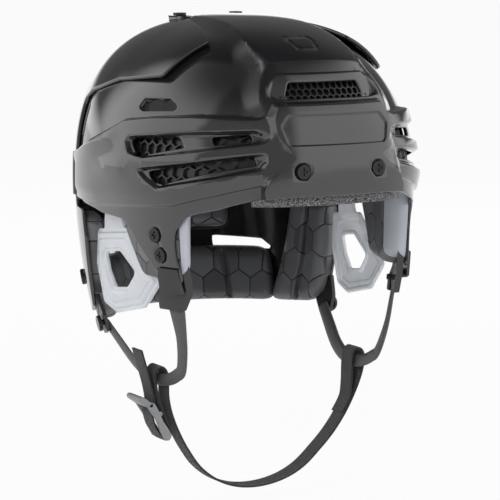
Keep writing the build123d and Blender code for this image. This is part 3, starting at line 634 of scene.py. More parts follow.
# Rear shell
REAR_LINE = side_outline((
    (-0.381, 0.701), (0.000, 0.654), (0.313, 0.561), (0.428, 0.495), (0.428, -0.196), (0.269, -0.196),
    (0.246, -0.374), (0.261, -0.822), (0.358, -0.879), (0.746, -0.907), (1.194, -0.916), (1.194, 1.215),
    (-0.433, 1.215), (-0.433, 0.897),
))
REAR_BELT = side_outline((
    (0.428, -0.131), (0.428, 0.159), (0.597, 0.112), (0.784, 0.093), (1.194, 0.093), (1.194, -0.093),
    (0.784, -0.093), (0.597, -0.131),
))
WINGS = plan_outline(((0.262, 0.187), (0.515, -0.433), (1.553, -0.433), (1.553, 1.494)))
REAR_HOLES = (
    ((0.388, -0.533), (0.680, -0.551), (0.738, -0.617), (0.388, -0.617)),
    ((0.117, 0.318), (0.447, 0.355), (0.408, 0.224), (0.117, 0.187)),
    ((0.097, 0.617), (0.291, 0.636), (0.272, 0.533), (0.097, 0.514)),
)
SIZE_SCREW = (22.0, 45.0)
SLOT_HALF = TRAVEL / 2
SCREW_HEAD = 1.6
HEAD_GAP = 0.1
size_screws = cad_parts["size_screws"]
screw_top = max((size_screws.matrix_world @ Vector(corner)).z for corner in size_screws.bound_box) / MM
BOSS_TOP = screw_top - SCREW_HEAD - HEAD_GAP

rear_side = region(REAR_LINE, SIDE, radius=4.0)
rear_belt = region(REAR_BELT, SIDE, radius=3.0)
wing_line = rounded(WINGS, 3.0)


def wing_edge(points):
    return np.where(points[:, 2] > 20, distance(wing_line, points[:, 0:2]), -FAR)


def pill(center, half, radius):
    """Outline of a slot along Y."""
    arc = np.linspace(0, pi, 13)
    front = [(center[0] + radius * cos(a), center[1] - half - radius * sin(a)) for a in -arc + pi]
    back = [(center[0] + radius * cos(a), center[1] + half + radius * sin(a)) for a in arc]
    return back + front


slot_centers = [(x, SIZE_SCREW[1] - SLOT_HALF) for x in (-SIZE_SCREW[0], SIZE_SCREW[0])]
slot_holes = either(*[region(pill(center, SLOT_HALF, 2.6), TOP, radius=0) for center in slot_centers])
slot_bosses = either(*[region(pill(center, SLOT_HALF, 6.9), TOP, radius=0) for center in slot_centers])
rear_holes = []
for shares in REAR_HOLES:
    line = one_side_outline(shares)
    rear_holes += [region(line, BACK, radius=1.6), region([(-x, z) for x, z in line], BACK, radius=1.6)]
rear_kept = both(rear_side, wing_edge, outside_of(slot_holes), *[outside_of(hole) for hole in rear_holes])


def rear_heights(points):
    rise = 1.7 * ramp(rear_belt(points), 0.6, -0.6)
    return rise + np.maximum(BOSS_TOP - points[:, 2], 0) * ramp(slot_bosses(points), 0.6, -0.3)


rear_features = [
    (rear_belt, (0.9, 0.4, 0.0, -0.4, -0.9)),
    (slot_bosses, (0.8, 0.3, -0.4)),
]
rear_shell = shell(
    "shell_rear", rear_kept, rear_features, rear_heights, gloss_black, stretch=TRAVEL, level=SHELL_WALL + 0.3,
)

for piece, node_name, body in ((front_shell, "front_shell", "front"), (rear_shell, "rear_shell", "rear")):
    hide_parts(node_name)
    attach(piece, body)


# Pads
PAD_LEVEL = -SHELL_WALL - 0.3
PAD_THICKNESS = 15.0
PAD_LINES = (-9.0, -6.5, -4.5, -2.8, -1.5, -0.6, 0.0)
PAD_ROUND = 8.0
PAD_SIDE = 0.42
CHANNEL_DEPTH = 5.0
CHANNEL_HALF = 3.2
CHANNEL_LINES = (-CHANNEL_HALF, -1.6, 0.0, 1.6, CHANNEL_HALF)
HOLLOW_DEPTH = 5.5
HEX_SIZE = 21.0
WRAP_RADIUS = 115.0

foam = material("pad_foam", (0.110, 0.112, 0.119), 0.42, Sheen_Weight=0.1)
pale_foam = material("pale_foam", (0.50, 0.52, 0.58), 0.55, (300.0, 0.5, 0.62), (900.0, 0.2, 0.0002))
ROOT_3 = 3**0.5
HEX_TILE = (1.0, ROOT_3, 1.0)
HEX_HALF = (0.5, ROOT_3 / 2, 0.5)
HEX_SHIFT = (100.0, 100 * ROOT_3, 0.5)
SEAM_WIDTH = 0.036
SEAM_DEPTH = 0.0006
SEAM_COLOR = (0.010, 0.010, 0.012, 1)
CELL_TONES = (0.75, 1.5)
PRINT_BAND = (0.07, 0.10)
PRINT_CHANCE = 0.91
PRINT_SHARE = 0.75
PRINT_COLOR = (0.42, 0.43, 0.46, 1)


def hexagons(mat):
    """Pressed hexagon seams, and a printed line in a few cells, from the piece's UV in units of one cell."""
    tree = mat.node_tree
    shader = tree.nodes["Principled BSDF"]
    base = shader.inputs["Base Color"].default_value
    cell_colors = [(*[channel * tone for channel in base[:3]], 1) for tone in CELL_TONES]
    scalar = partial(maths, tree)
    vector = partial(vector_maths, tree)
    shifted = vector("ADD", node(tree, "UVMap").outputs["UV"], HEX_SHIFT)
    flat_offsets = []
    for start in (shifted, vector("SUBTRACT", shifted, HEX_HALF)):
        offset = vector("SUBTRACT", vector("MODULO", start, HEX_TILE), HEX_HALF)
        flat_offsets.append(vector("MULTIPLY", offset, (1.0, 1.0, 0.0)))
    nearer = scalar("LESS_THAN", *[vector("LENGTH", offset) for offset in flat_offsets])
    offset = mixed(tree, nearer, flat_offsets[1], flat_offsets[0], "VECTOR")
    cell = vector("ABSOLUTE", offset)
    slanted = vector("DOT_PRODUCT", cell, (0.5, ROOT_3 / 2, 0.0))
    edge = scalar("SUBTRACT", 0.5, scalar("MAXIMUM", slanted, node(tree, "SeparateXYZ", cell).outputs["X"]))
    seam = smooth_range(tree, edge, 0.0, SEAM_WIDTH)
    centre = vector("ADD", vector("SUBTRACT", shifted, offset), (0.1, 0.1, 0.1))
    snapped = vector("SNAP", centre, (0.25, 0.25, 0.25))
    chance = node(tree, "TexWhiteNoise", snapped, noise_dimensions="2D").outputs["Value"]
    tone = mixed(tree, seam, SEAM_COLOR, mixed(tree, chance, *cell_colors))
    chosen = scalar("MULTIPLY", scalar("GREATER_THAN", chance, PRINT_CHANCE), PRINT_SHARE)
    band_start = scalar("GREATER_THAN", edge, PRINT_BAND[0])
    band_end = scalar("LESS_THAN", edge, PRINT_BAND[1])
    printed = scalar("MULTIPLY", chosen, scalar("MULTIPLY", band_start, band_end))
    put(tree, shader.inputs["Base Color"], mixed(tree, printed, tone, PRINT_COLOR))
    pressed = bumped(tree, seam, 1.0, SEAM_DEPTH)
    fine = noise(tree, 900.0, GRAIN_DETAIL)
    put(tree, shader.inputs["Normal"], bumped(tree, fine, 0.25, 0.0002, Normal=pressed))


hexagons(foam)


def wrap_uv(obj, size, top=False):
    """UV in cells: round the head and up, or in plan for the crown."""
    layer = obj.data.uv_layers.new(name="UVMap")
    for loop in obj.data.loops:
        p = obj.data.vertices[loop.vertex_index].co / MM
        if top:
            layer.data[loop.index].uv = (p.x / size, p.y / size)
        else:
            layer.data[loop.index].uv = (atan2(p.x, -p.y) * WRAP_RADIUS / size, p.z / size)


def pad(name, nodes, body, kept, channels=(), level=PAD_LEVEL, top=False, hollow=None, pale=None):
    """Foam cushion on a shell: crowned over its edges, with channels pressed into the face towards the head.

    Behind the vents its outer face lies deeper (hollow), and its foam is pale ahead of a line (pale).
    """
    features = [(field, CHANNEL_LINES) for field in channels]
    if hollow:
        features.append((hollow, (1.0, -1.0, -3.0)))
    if pale:
        features.append((pale, (0.0,)))
    points, triangles, away = form_mesh(kept, features, PAD_LINES, level, 0.0, 150, (26, 36), -108.0)
    t = np.clip(-away / PAD_ROUND, 0, 1)
    full = PAD_THICKNESS * (PAD_SIDE + (1 - PAD_SIDE) * np.sqrt(1 - (1 - t) ** 2))
    for field in channels:
        valley = 1 - ramp(np.abs(field(points)), 0.0, CHANNEL_HALF)
        full = full - CHANNEL_DEPTH * valley * ramp(t, 0.0, 0.6)
    sunk = HOLLOW_DEPTH * ramp(hollow(points), 1.0, -3.0) if hollow else 0.0
    outer = lay(points, level - sunk)
    inner = lay(points, level - full)
    piece = skin(name, outer, inner, triangles, foam)
    if pale:
        piece.data.materials.append(pale_foam)
        ahead = pale(points)
        for polygon in piece.data.polygons:
            corners = [index % len(points) for index in polygon.vertices]
            polygon.material_index = int(ahead[corners].mean() < 0)
    wrap_uv(piece, HEX_SIZE, top)
    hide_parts(*nodes)
    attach(piece, body)
    return piece


def right_only(field):
    return lambda points: np.where(points[:, 0] < 0, field(points), FAR)


def left_only(field):
    return lambda points: np.where(points[:, 0] > 0, field(points), FAR)


def along(value):
    """Line across the helmet at one place along it."""
    return lambda points: points[:, 1] - value


def beside(value):
    return lambda points: points[:, 0] - value


TEMPLE_PAD = side_outline((
    (-0.657, 0.449), (-0.642, -0.131), (-0.627, -0.467), (-0.552, -0.542), (-0.328, -0.523),
    (-0.179, -0.224), (-0.127, -0.112), (-0.119, 0.430),
))
SIDE_PAD = side_outline(((-0.097, 0.430), (0.403, 0.374), (0.403, -0.037), (-0.097, -0.037)))
REAR_SIDE_PAD = side_outline((
    (0.254, -0.243), (0.545, -0.243), (0.560, -0.944), (0.325, -0.925), (0.254, -0.841),
))
FOREHEAD_PAD = front_outline(((0.485, 0.467), (0.563, 0.280), (0.563, -0.037)))
OCCIPITAL_PAD = front_outline(((0.700, -0.600), (0.690, -0.944)))
UPPER_REAR_PAD = front_outline(((0.388, 0.617), (0.524, 0.280), (0.485, -0.467)))
CROWN_PAD = plan_outline(((0.233, 0.254), (0.408, 0.149), (0.447, -0.299), (0.330, -0.560)))

LINER = side_outline(((-0.940, 0.430), (-0.239, 0.393), (-0.239, 0.028), (-0.448, 0.000), (-0.940, 0.121)))
liner_edge = region(LINER, SIDE, radius=0)
temple_edge = region(TEMPLE_PAD, SIDE, radius=8.0)
side_pad_edge = region(SIDE_PAD, SIDE, radius=8.0)
rear_side_edge = region(REAR_SIDE_PAD, SIDE, radius=8.0)
for side_name, only in (("right", right_only), ("left", left_only)):
    pad(
        "pad_temple_" + side_name, ["temple_pad_" + side_name], "front", only(temple_edge), [along(-48.0)],
        hollow=liner_edge, pale=along(-80.5),
    )
    pad(
        "pad_side_" + side_name, ["side_pad_" + side_name], "front", only(side_pad_edge),
        [along(11.0), along(32.0)], hollow=liner_edge,
    )
    pad(
        "pad_rear_side_" + side_name, ["rear_side_pad_" + side_name], "rear", only(rear_side_edge),
        [along(54.0)], level=0.0,
    )
middle_channels = [beside(-20.6), beside(20.6)]
pad(
    "pad_forehead", ["forehead_pad"], "front", region(FOREHEAD_PAD, FRONT, radius=8.0), middle_channels,
    hollow=liner_edge,
)
pad(
    "pad_occipital", ["occipital_pad"], "rear", region(OCCIPITAL_PAD, BACK, radius=8.0),
    [beside(-43.3), beside(43.3)], level=0.0,
)
pad(
    "pad_upper_rear", ["upper_rear_pad"], "rear", region(UPPER_REAR_PAD, BACK, radius=8.0), middle_channels,
    level=0.0,
)
pad("pad_crown", ["crown_pad"], "front", region(CROWN_PAD, TOP, radius=8.0), middle_channels, top=True)

# Ear guards
EAR_PLACE = 91.8
EAR_TOE = radians(4.9)
EAR_THICKNESS = 2.5
EAR = side_outline((
    (0.209, -0.318), (-0.104, -0.271), (-0.396, -0.570), (-0.246, -0.757), (0.022, -0.832), (0.149, -0.785),
    (0.224, -0.542),
))
EAR_WINDOW = side_outline((
    (0.119, -0.458), (-0.030, -0.430), (-0.179, -0.542), (-0.104, -0.645), (0.022, -0.664), (0.082, -0.570),
))
EAR_TAB = side_outline((
    (0.142, -0.345), (-0.060, -0.310), (-0.030, -0.224), (-0.030, -0.044), (0.119, -0.044), (0.142, -0.243),
))
clear_plate = material(
    "clear_plate", (0.90, 0.93, 0.98), 0.2, (160.0, 0.16, 0.26), (60.0, 0.12, 0.0006),
    Transmission_Weight=0.35, Alpha=0.8, Coat_Weight=1.0, Coat_Roughness=0.04,
)


def flat_field(outline, radius):
    line = rounded(outline, radius)
    return lambda points: distance(line, points[:, 0:2])


ear_edge = flat_field(EAR, 4.0)
ear_hole = flat_field(EAR_WINDOW, 3.0)
tab_edge = flat_field(EAR_TAB, 2.0)
ear_kept = both(either(ear_edge, tab_edge), outside_of(ear_hole))


def flat_grid(low, high, step):
    xs = np.arange(low[0], high[0] + step, step)
    ys = np.arange(low[1], high[1] + step, step)
    points = np.array([(x, y, 0.0) for y in ys for x in xs])
    width = len(xs)
    triangles = []
    for j in range(len(ys) - 1):
        for i in range(width - 1):
            a = j * width + i
            triangles += [(a, a + 1, a + width), (a + 1, a + width + 1, a + width)]
    return points, np.array(triangles)


def ear_guard(name, nodes, mirror):
    points, triangles = flat_grid((-58.0, -94.0), (34.0, -2.0), 3.0)
    features = [
        (ear_edge, (-2.2, -2.6, -3.4, -3.8, -6.2, -6.6, -7.4, -7.8)),
        (ear_hole, (1.9, 2.2, 2.8, 3.1)),
    ]
    points, triangles, away = carve(points, triangles, ear_kept, features, EDGE_LINES, lambda p: p)
    rim = ear_edge(points)
    rise = 1.6 * ramp(rim, -2.2, -3.8) + 1.2 * ramp(rim, -6.2, -7.8)
    rise = rise - 1.3 * ramp(ear_hole(points), 3.1, 1.9)
    dip = edge_dip(away)
    along_x = np.array([-sin(EAR_TOE), cos(EAR_TOE), 0.0])
    outward = np.array([-cos(EAR_TOE), -sin(EAR_TOE), 0.0])
    upward = np.array([0.0, 0.0, 1.0])
    base = np.array([-EAR_PLACE, 0.0, 0.0]) + points[:, 0:1] * along_x + points[:, 1:2] * upward
    outer = base + (rise - dip)[:, None] * outward
    inner = base + (rise * 0.75 - EAR_THICKNESS + dip)[:, None] * outward
    if mirror:
        outer, inner = outer * [-1, 1, 1], inner * [-1, 1, 1]
        triangles = triangles[:, ::-1]
    piece = skin(name, outer, inner, triangles[:, ::-1], clear_plate)
    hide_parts(*nodes)
    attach(piece, "front")
    return piece


ear_guard("ear_guard_plate_right", ["ear_guard_right"], False)
ear_guard("ear_guard_plate_left", ["ear_guard_left"], True)


# Swept straps
def smooth_path(controls, spacing=1.5):
    """Even points on a smooth curve through the controls."""
    controls = np.asarray(controls, float)
    before, after = controls[:1] * 2 - controls[1:2], controls[-1:] * 2 - controls[-2:-1]
    closed = np.concatenate([before, controls, after])
    path = []
    for i in range(1, len(closed) - 2):
        a, b, c, d = closed[i - 1:i + 3]
        steps = max(2, int(np.linalg.norm(c - b) / 0.5))
        for k in range(steps):
            t = k / steps
            square, cube = 2 * a - 5 * b + 4 * c - d, 3 * b - a - 3 * c + d
            path.append(0.5 * (2 * b + (c - a) * t + square * t**2 + cube * t**3))
    path.append(closed[-2])
    path = np.array(path)
    run = np.concatenate([[0], np.cumsum(np.linalg.norm(np.diff(path, axis=0), axis=1))])
    count = max(2, int(run[-1] / spacing))
    even = np.linspace(0, run[-1], count + 1)
    return np.stack([np.interp(even, run, path[:, k]) for k in range(path.shape[1])], axis=1), even


def directions(path):
    tangents = np.gradient(path, axis=0)
    return tangents / np.linalg.norm(tangents, axis=1)[:, None]


def sweep(name, path, across, out, profile, finish, widths=1.0, mirror=False):
    """Closed sweep of a profile (across, out) along a path, its width times widths."""
    profile = np.asarray(profile, float)
    sideways = profile[:, 0] * np.broadcast_to(widths, len(path))[:, None]
    points = path[:, None] + across[:, None] * sideways[..., None] + out[:, None] * profile[:, 1][:, None]
    points = points.reshape(-1, 3)
    around = len(profile)
    faces = []
    for start in range(0, len(points) - around, around):
        for k in range(around):
            a, b = start + k, start + (k + 1) % around
            faces.append((a, b, b + around, a + around))
    faces += [tuple(reversed(range(around))), tuple(range(len(points) - around, len(points)))]
    if mirror:
        points = points * [-1, 1, 1]
        faces = [tuple(reversed(face)) for face in faces]
    return make_object(name, points, faces, finish)


def strap(name, path, run, across, profile, finish):
    """Band along a path, with a UV in millimetres."""
    tangents = directions(path)
    across = np.broadcast_to(np.asarray(across, float), path.shape)
    across = across - (across * tangents).sum(axis=1)[:, None] * tangents
    across /= np.linalg.norm(across, axis=1)[:, None]
    piece = sweep(name, path, across, np.cross(tangents, across), profile, finish)
    layer = piece.data.uv_layers.new(name="UVMap")
    for loop in piece.data.loops:
        i, k = divmod(loop.vertex_index, len(profile))
        layer.data[loop.index].uv = (profile[k][0], run[i])
    return piece


def band_profile(width, thickness, flats=6, turns=4):
    """Flat band with rounded edges, as (across, out) points."""
    half, r = width / 2, thickness / 2
    line = []
    for sign in (1, -1):
        line += [(sign * (-half + r + (width - 2 * r) * k / flats), sign * r) for k in range(flats + 1)]
        bends = [pi * k / turns for k in range(1, turns)]
        line += [(sign * (half - r + r * sin(a)), sign * r * cos(a)) for a in bends]
    return line


webbing = material("woven_webbing", (0.04, 0.041, 0.045), 0.75, Sheen_Weight=0.3, Sheen_Roughness=0.4)


def weave(mat, pitch):
    """Twill ribs from the piece's UV, in millimetres: raised herringbone rows along the band, with painted
    shade darkening the hollows between them.
    """
    tree = mat.node_tree
    shader = tree.nodes["Principled BSDF"]
    scalar = partial(maths, tree)
    place = node(tree, "SeparateXYZ", node(tree, "UVMap").outputs["UV"]).outputs
    slanted = scalar("ADD", place["Y"], scalar("PINGPONG", place["X"], pitch * 1.5))
    rows = scalar("ABSOLUTE", scalar("SINE", scalar("MULTIPLY", slanted, pi / pitch)))
    warp = scalar("ABSOLUTE", scalar("SINE", scalar("MULTIPLY", place["X"], pi / (pitch * 0.6))))
    height = scalar("MULTIPLY", rows, scalar("ADD", warp, 0.4))
    put(tree, shader.inputs["Normal"], bumped(tree, height, 1.0, 0.0004))
    # Painted shade: the base colour is darker in the weave's hollows and lighter on its raised ribs,
    # following the rib height.
    tone = mixed(tree, height, (0.003, 0.003, 0.004, 1), (0.022, 0.023, 0.026, 1))
    put(tree, shader.inputs["Base Color"], tone)


weave(webbing, 1.2)

STRAP_Y = -26.93
STRAP_WIDTH = 15.0
STRAP_THICKNESS = 1.5
CHIN = (
    (-0.888, -1.023), (-0.852, -1.140), (-0.814, -1.270), (-0.799, -1.364), (-0.812, -1.430),
    (-0.792, -1.510), (-0.745, -1.577), (-0.715, -1.606), (-0.685, -1.590), (-0.684, -1.545),
    (-0.728, -1.440), (-0.768, -1.330), (-0.785, -1.240), (-0.786, -1.172), (-0.748, -1.138),
    (-0.706, -1.172), (-0.697, -1.250), (-0.694, -1.340), (-0.668, -1.450), (-0.615, -1.575),
    (-0.548, -1.692), (-0.456, -1.813), (-0.330, -1.906), (-0.175, -1.962), (0.0, -1.974),
    (0.175, -1.944), (0.320, -1.879), (0.447, -1.776), (0.553, -1.673), (0.648, -1.550),
    (0.725, -1.415), (0.773, -1.300), (0.788, -1.225), (0.783, -1.164), (0.744, -1.138),
    (0.706, -1.172), (0.696, -1.260), (0.694, -1.350), (0.685, -1.445), (0.667, -1.489),
    (0.639, -1.534), (0.620, -1.561),
)
chin_controls = [(x * HALF_WIDTH, STRAP_Y, z * CROWN_HEIGHT) for x, z in CHIN]
chin_path, chin_run = smooth_path(chin_controls, 1.3)
chin = strap(
    "chin_strap", chin_path, chin_run, (0.0, 1.0, 0.0), band_profile(STRAP_WIDTH, STRAP_THICKNESS), webbing,
)
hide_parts("chin_webbing")
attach(chin, "chin_strap")


# Strap loops, anchors and buckle
moulded = material(
    "moulded_strap", (0.085, 0.086, 0.090), 0.5, (420.0, 0.42, 0.58), (900.0, 0.12, 0.0002),
    Specular_IOR_Level=0.4,
)
fitting = material("moulded_nylon", (0.022, 0.022, 0.024), 0.3, (500.0, 0.26, 0.4), (1100.0, 0.1, 0.0002))
lever_grey = material("buckle_nylon", (0.23, 0.233, 0.240), 0.4, (700.0, 0.35, 0.5), (1100.0, 0.15, 0.0002))

LOOP_BOTTOM = np.array([-0.738 * HALF_WIDTH, -0.201 * FRONT_REACH, -1.224 * CROWN_HEIGHT])
LOOP_FRONT = np.array([-0.828 * HALF_WIDTH, -0.507 * FRONT_REACH, -0.590 * CROWN_HEIGHT])
LOOP_REAR = np.array([-0.835 * HALF_WIDTH, 0.240 * FRONT_REACH, -0.930 * CROWN_HEIGHT])
LOOP_RADIUS = 57.0
LOOP_SIDE = ((-0.720, 1.180), (-0.728, 0.900), (-0.720, 0.600), (-0.668, 0.370))
LOOP_ANGLES = (-36.0, 38.0)
LOOP_RUN = 30.0
LOOP_PROFILE = (
    (-0.5, 0.0), (-0.47, 0.75), (-0.25, 1.0), (-0.04, 1.45), (0.04, 1.45), (0.25, 1.0), (0.47, 0.75),
    (0.5, 0.0), (0.47, -0.75), (0.2, -1.15), (-0.2, -1.15), (-0.47, -0.75),
)


def unit(vector):
    return vector / np.linalg.norm(vector)


loop_normal = unit(np.cross(LOOP_REAR - LOOP_BOTTOM, LOOP_FRONT - LOOP_BOTTOM))
loop_x = unit(np.array([-loop_normal[1], loop_normal[0], 0.0]))
loop_y = np.cross(loop_normal, loop_x)


def loop_controls():
    flat = [(u * LOOP_RADIUS, v * LOOP_RADIUS) for u, v in LOOP_SIDE]
    steps = 10
    for k in range(steps + 1):
        angle = radians(LOOP_ANGLES[0] + (LOOP_ANGLES[1] - LOOP_ANGLES[0]) * k / steps)
        flat.append((LOOP_RADIUS * sin(angle), LOOP_RADIUS * (1 - cos(angle))))
    last = flat[-1]
    angle = radians(LOOP_ANGLES[1])
    for share in (0.5, 1.0):
        flat.append((last[0] + LOOP_RUN * share * cos(angle), last[1] + LOOP_RUN * share * sin(angle)))
    return [LOOP_BOTTOM + u * loop_x + v * loop_y for u, v in flat]


def v_loop(name, nodes, mirror):
    """Moulded strap: broad at the anchors, narrower round the bottom, twisted in the front strand."""
    path, run = smooth_path(loop_controls(), 1.6)
    share = run / run[-1]
    width = np.interp(share, (0, 0.08, 0.2, 0.5, 0.62, 0.85, 1.0), (13.5, 12.5, 9.0, 8.5, 9.5, 10.5, 9.5))
    twist = np.radians(np.interp(share, (0, 0.12, 0.3, 0.5, 0.7, 1.0), (26, 20, 8, 0, 10, 12)))
    tangents = directions(path)
    side = np.cross(tangents, loop_normal)
    across = side * np.cos(twist)[:, None] + loop_normal * np.sin(twist)[:, None]
    piece = sweep(name, path, across, np.cross(tangents, across), LOOP_PROFILE, moulded, width, mirror)
    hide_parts(*nodes)
    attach(piece, "front")
    return piece


v_loop("strap_loop_right", ["v_loop_right"], False)
v_loop("strap_loop_left", ["v_loop_left"], True)


def block(name, outline, start, end, frame_of, bevel, finish, segments=3):
    """Outline carried along the third axis of a frame (origin, u, v, w), with rounded edges."""
    origin, u, v, w = [np.asarray(value, float) for value in frame_of]
    mesh = bpy.data.meshes.new(name)
    made = bmesh.new()
    low = [made.verts.new((origin + u * a + v * b + w * start) * MM) for a, b in outline]
    high = [made.verts.new((origin + u * a + v * b + w * end) * MM) for a, b in outline]
    made.faces.new(list(reversed(low)))
    made.faces.new(high)
    for i in range(len(outline)):
        k = (i + 1) % len(outline)
        made.faces.new((low[i], low[k], high[k], high[i]))
    bmesh.ops.recalc_face_normals(made, faces=made.faces)
    sharp = [e for e in made.edges if len(e.link_faces) == 2 and e.calc_face_angle(0) > radians(35)]
    bmesh.ops.bevel(made, geom=sharp, offset=bevel * MM, segments=segments, profile=0.5, affect="EDGES")
    made.to_mesh(mesh)
    made.free()
    return placed(name, mesh, finish)


def joined(name, parts):
    """One object from several, in the first one's place."""
    bpy.ops.object.select_all(action="DESELECT")
    for part in parts:
        part.select_set(True)
    bpy.context.view_layer.objects.active = parts[0]
    bpy.ops.object.join()
    parts[0].name = name
    return parts[0]


def round_outline(centre, radius, count=20):
    return [
        (centre[0] + radius * cos(2 * pi * k / count), centre[1] + radius * sin(2 * pi * k / count))
        for k in range(count)
    ]


BUCKLE_FRAME = ((0, STRAP_Y, 0), (1, 0, 0), (0, 0, 1), (0, 1, 0))
RAIL = (
    (-88.6, -147.6), (-86.2, -144.6), (-83.4, -145.6), (-80.6, -150.6), (-77.2, -158.0), (-72.6, -165.0),
    (-70.6, -168.8), (-72.4, -172.0), (-75.8, -171.6), (-79.0, -165.4), (-83.0, -156.0),
)
LEVER = (
    (-83.6, -145.4), (-86.6, -144.6), (-89.2, -142.2), (-91.6, -140.6), (-93.8, -140.4), (-95.0, -141.8),
    (-94.4, -143.6), (-91.8, -145.6), (-88.2, -148.2), (-84.8, -148.8),
)
HALF_STRAP = STRAP_WIDTH / 2
bars = []
for centre, radius in (((-73.5, -168.5), 1.8), ((-78.5, -153.5), 1.7), ((-85.6, -147.0), 1.9)):
    outline = round_outline(centre, radius)
    bars.append(block("bar", outline, -HALF_STRAP - 1, HALF_STRAP + 1, BUCKLE_FRAME, 0.3, lever_grey))
rails = []
for side in (-1, 1):
    near, far = sorted((side * (HALF_STRAP + 0.5), side * (HALF_STRAP + 2.9)))
    rails.append(block("rail", rounded(RAIL, 2.0), near, far, BUCKLE_FRAME, 0.6, lever_grey))
lever = block(
    "lever", rounded(LEVER, 1.4), -HALF_STRAP - 2.9, HALF_STRAP + 2.9, BUCKLE_FRAME, 0.8, lever_grey, 4,
)
buckle = joined("strap_buckle", [lever] + rails + bars)
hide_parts("buckle")
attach(buckle, "buckle")

# Honeycomb behind the vents, on a black backing that is painted shade
liner_black = material("liner_black", (0.014, 0.014, 0.015), 0.3, (300.0, 0.25, 0.38))


def plan_at(z, rise):
    """Half width, reach ahead and plan power of the head form at a height."""
    top = CROWN_HEIGHT + rise
    side = reach(z, HALF_WIDTH + rise, top, SIDE_POWER, SIDE_TUCK)
    front = reach(z, FRONT_REACH + rise, top, FRONT_POWER, FRONT_TUCK)
    return side, front, PLAN_FRONT[0] + (PLAN_FRONT[1] - PLAN_FRONT[0]) * np.clip(z / top, 0, 1)


def oval(place, length, width, power):
    """Width of the plan outline at a place along its length."""
    return width * np.clip(1 - np.abs(place / length) ** power, 0, 1) ** (1 / power)


def hexagon_edges(outline, pitch):
    """Edges of a hexagon pattern whose middles lie inside the outline."""
    low, high = np.min(outline, axis=0), np.max(outline, axis=0)
    radius = pitch / np.sqrt(3)
    edges = {}
    for row in range(int((high[1] - low[1]) / (1.5 * radius)) + 2):
        for column in range(int((high[0] - low[0]) / pitch) + 2):
            centre = np.array([low[0] + (column + 0.5 * (row % 2)) * pitch, low[1] + row * 1.5 * radius])
            corners = [centre + radius * np.array([sin(pi / 3 * k), cos(pi / 3 * k)]) for k in range(6)]
            for k in range(6):
                a, b = corners[k], corners[(k + 1) % 6]
                middle = (a + b) / 2
                edges[(round(middle[0], 1), round(middle[1], 1))] = (a, b)
    middles = np.array([(a + b) / 2 for a, b in edges.values()])
    inside = distance(np.asarray(outline, float), middles) < 0
    return [edge for edge, keep in zip(edges.values(), inside) if keep]


def face_outward(piece):
    made = bmesh.new()
    made.from_mesh(piece.data)
    bmesh.ops.recalc_face_normals(made, faces=made.faces)
    made.to_mesh(piece.data)
    made.free()


LATTICE_DEPTH = 2.4
LATTICE_LEVEL = -SHELL_WALL - 0.5
SHADE_SHEET_STEP = 5.0
SHADE_SHEET_THICKNESS = 0.8


def lattice(name, nodes, outline, place, pitch, wire):
    """Hexagon lattice of thin walls on a black backing, painted shade standing in for the dark space behind
    it: place gives the points of the outline at a depth.
    """
    points = []
    faces = []
    for a, b in hexagon_edges(outline, pitch):
        run = (b - a) / np.linalg.norm(b - a)
        off = np.array([-run[1], run[0]]) * wire / 2
        start, end = a - run * wire / 3, b + run * wire / 3
        ring = np.array([start - off, end - off, end + off, start + off])
        base = len(points)
        points += list(place(ring, 0.0)) + list(place(ring, LATTICE_DEPTH))
        faces += [(base, base + 1, base + 2, base + 3), (base + 7, base + 6, base + 5, base + 4)]
        for k in range(4):
            m = (k + 1) % 4
            faces.append((base + m, base + k, base + k + 4, base + m + 4))
    piece = make_object(name, np.array(points), faces, liner_black, smooth=False)
    face_outward(piece)
    # Black backing behind the lattice: a dark layer put where there is only shade, painted shade in place of
    # the pads seen through the cells.
    low, high = np.min(outline, axis=0), np.max(outline, axis=0)
    flat, triangles = flat_grid(low - SHADE_SHEET_STEP, high + SHADE_SHEET_STEP, SHADE_SHEET_STEP)
    flat, triangles, _ = carve(flat, triangles, flat_field(outline, 2.0), [], (0.0,), lambda p: p)
    front_face = place(flat[:, 0:2], LATTICE_DEPTH)
    back_face = place(flat[:, 0:2], LATTICE_DEPTH + SHADE_SHEET_THICKNESS)
    shade_sheet = skin(name + "_sheet", front_face, back_face, triangles, liner_black)
    face_outward(shade_sheet)
    piece = joined(name, [piece, shade_sheet])
    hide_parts(*nodes)
    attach(piece, "front")
    return piece


def on_side(sign):
    def place(flat, depth):
        side, front, power = plan_at(flat[:, 1], LATTICE_LEVEL - depth)
        return np.stack([oval(flat[:, 0], front, side, power) * sign, flat[:, 0], flat[:, 1]], axis=1)

    return place


def on_window(flat, depth):
    side, front, power = plan_at(flat[:, 1], CROWN_RISE + LATTICE_LEVEL - depth)
    return np.stack([flat[:, 0], -oval(flat[:, 0], side, front, power), flat[:, 1]], axis=1)


lattice("liner_mesh_right", ["side_liner_right"], LINER, on_side(-1), 8.0, 1.0)
lattice("liner_mesh_left", ["side_liner_left"], LINER, on_side(1), 8.0, 1.0)
WINDOW_LINER = front_outline(((0.300, 0.740), (0.310, 0.540)))
lattice("window_mesh", ["window_liner"], WINDOW_LINER, on_window, 4.6, 0.9)

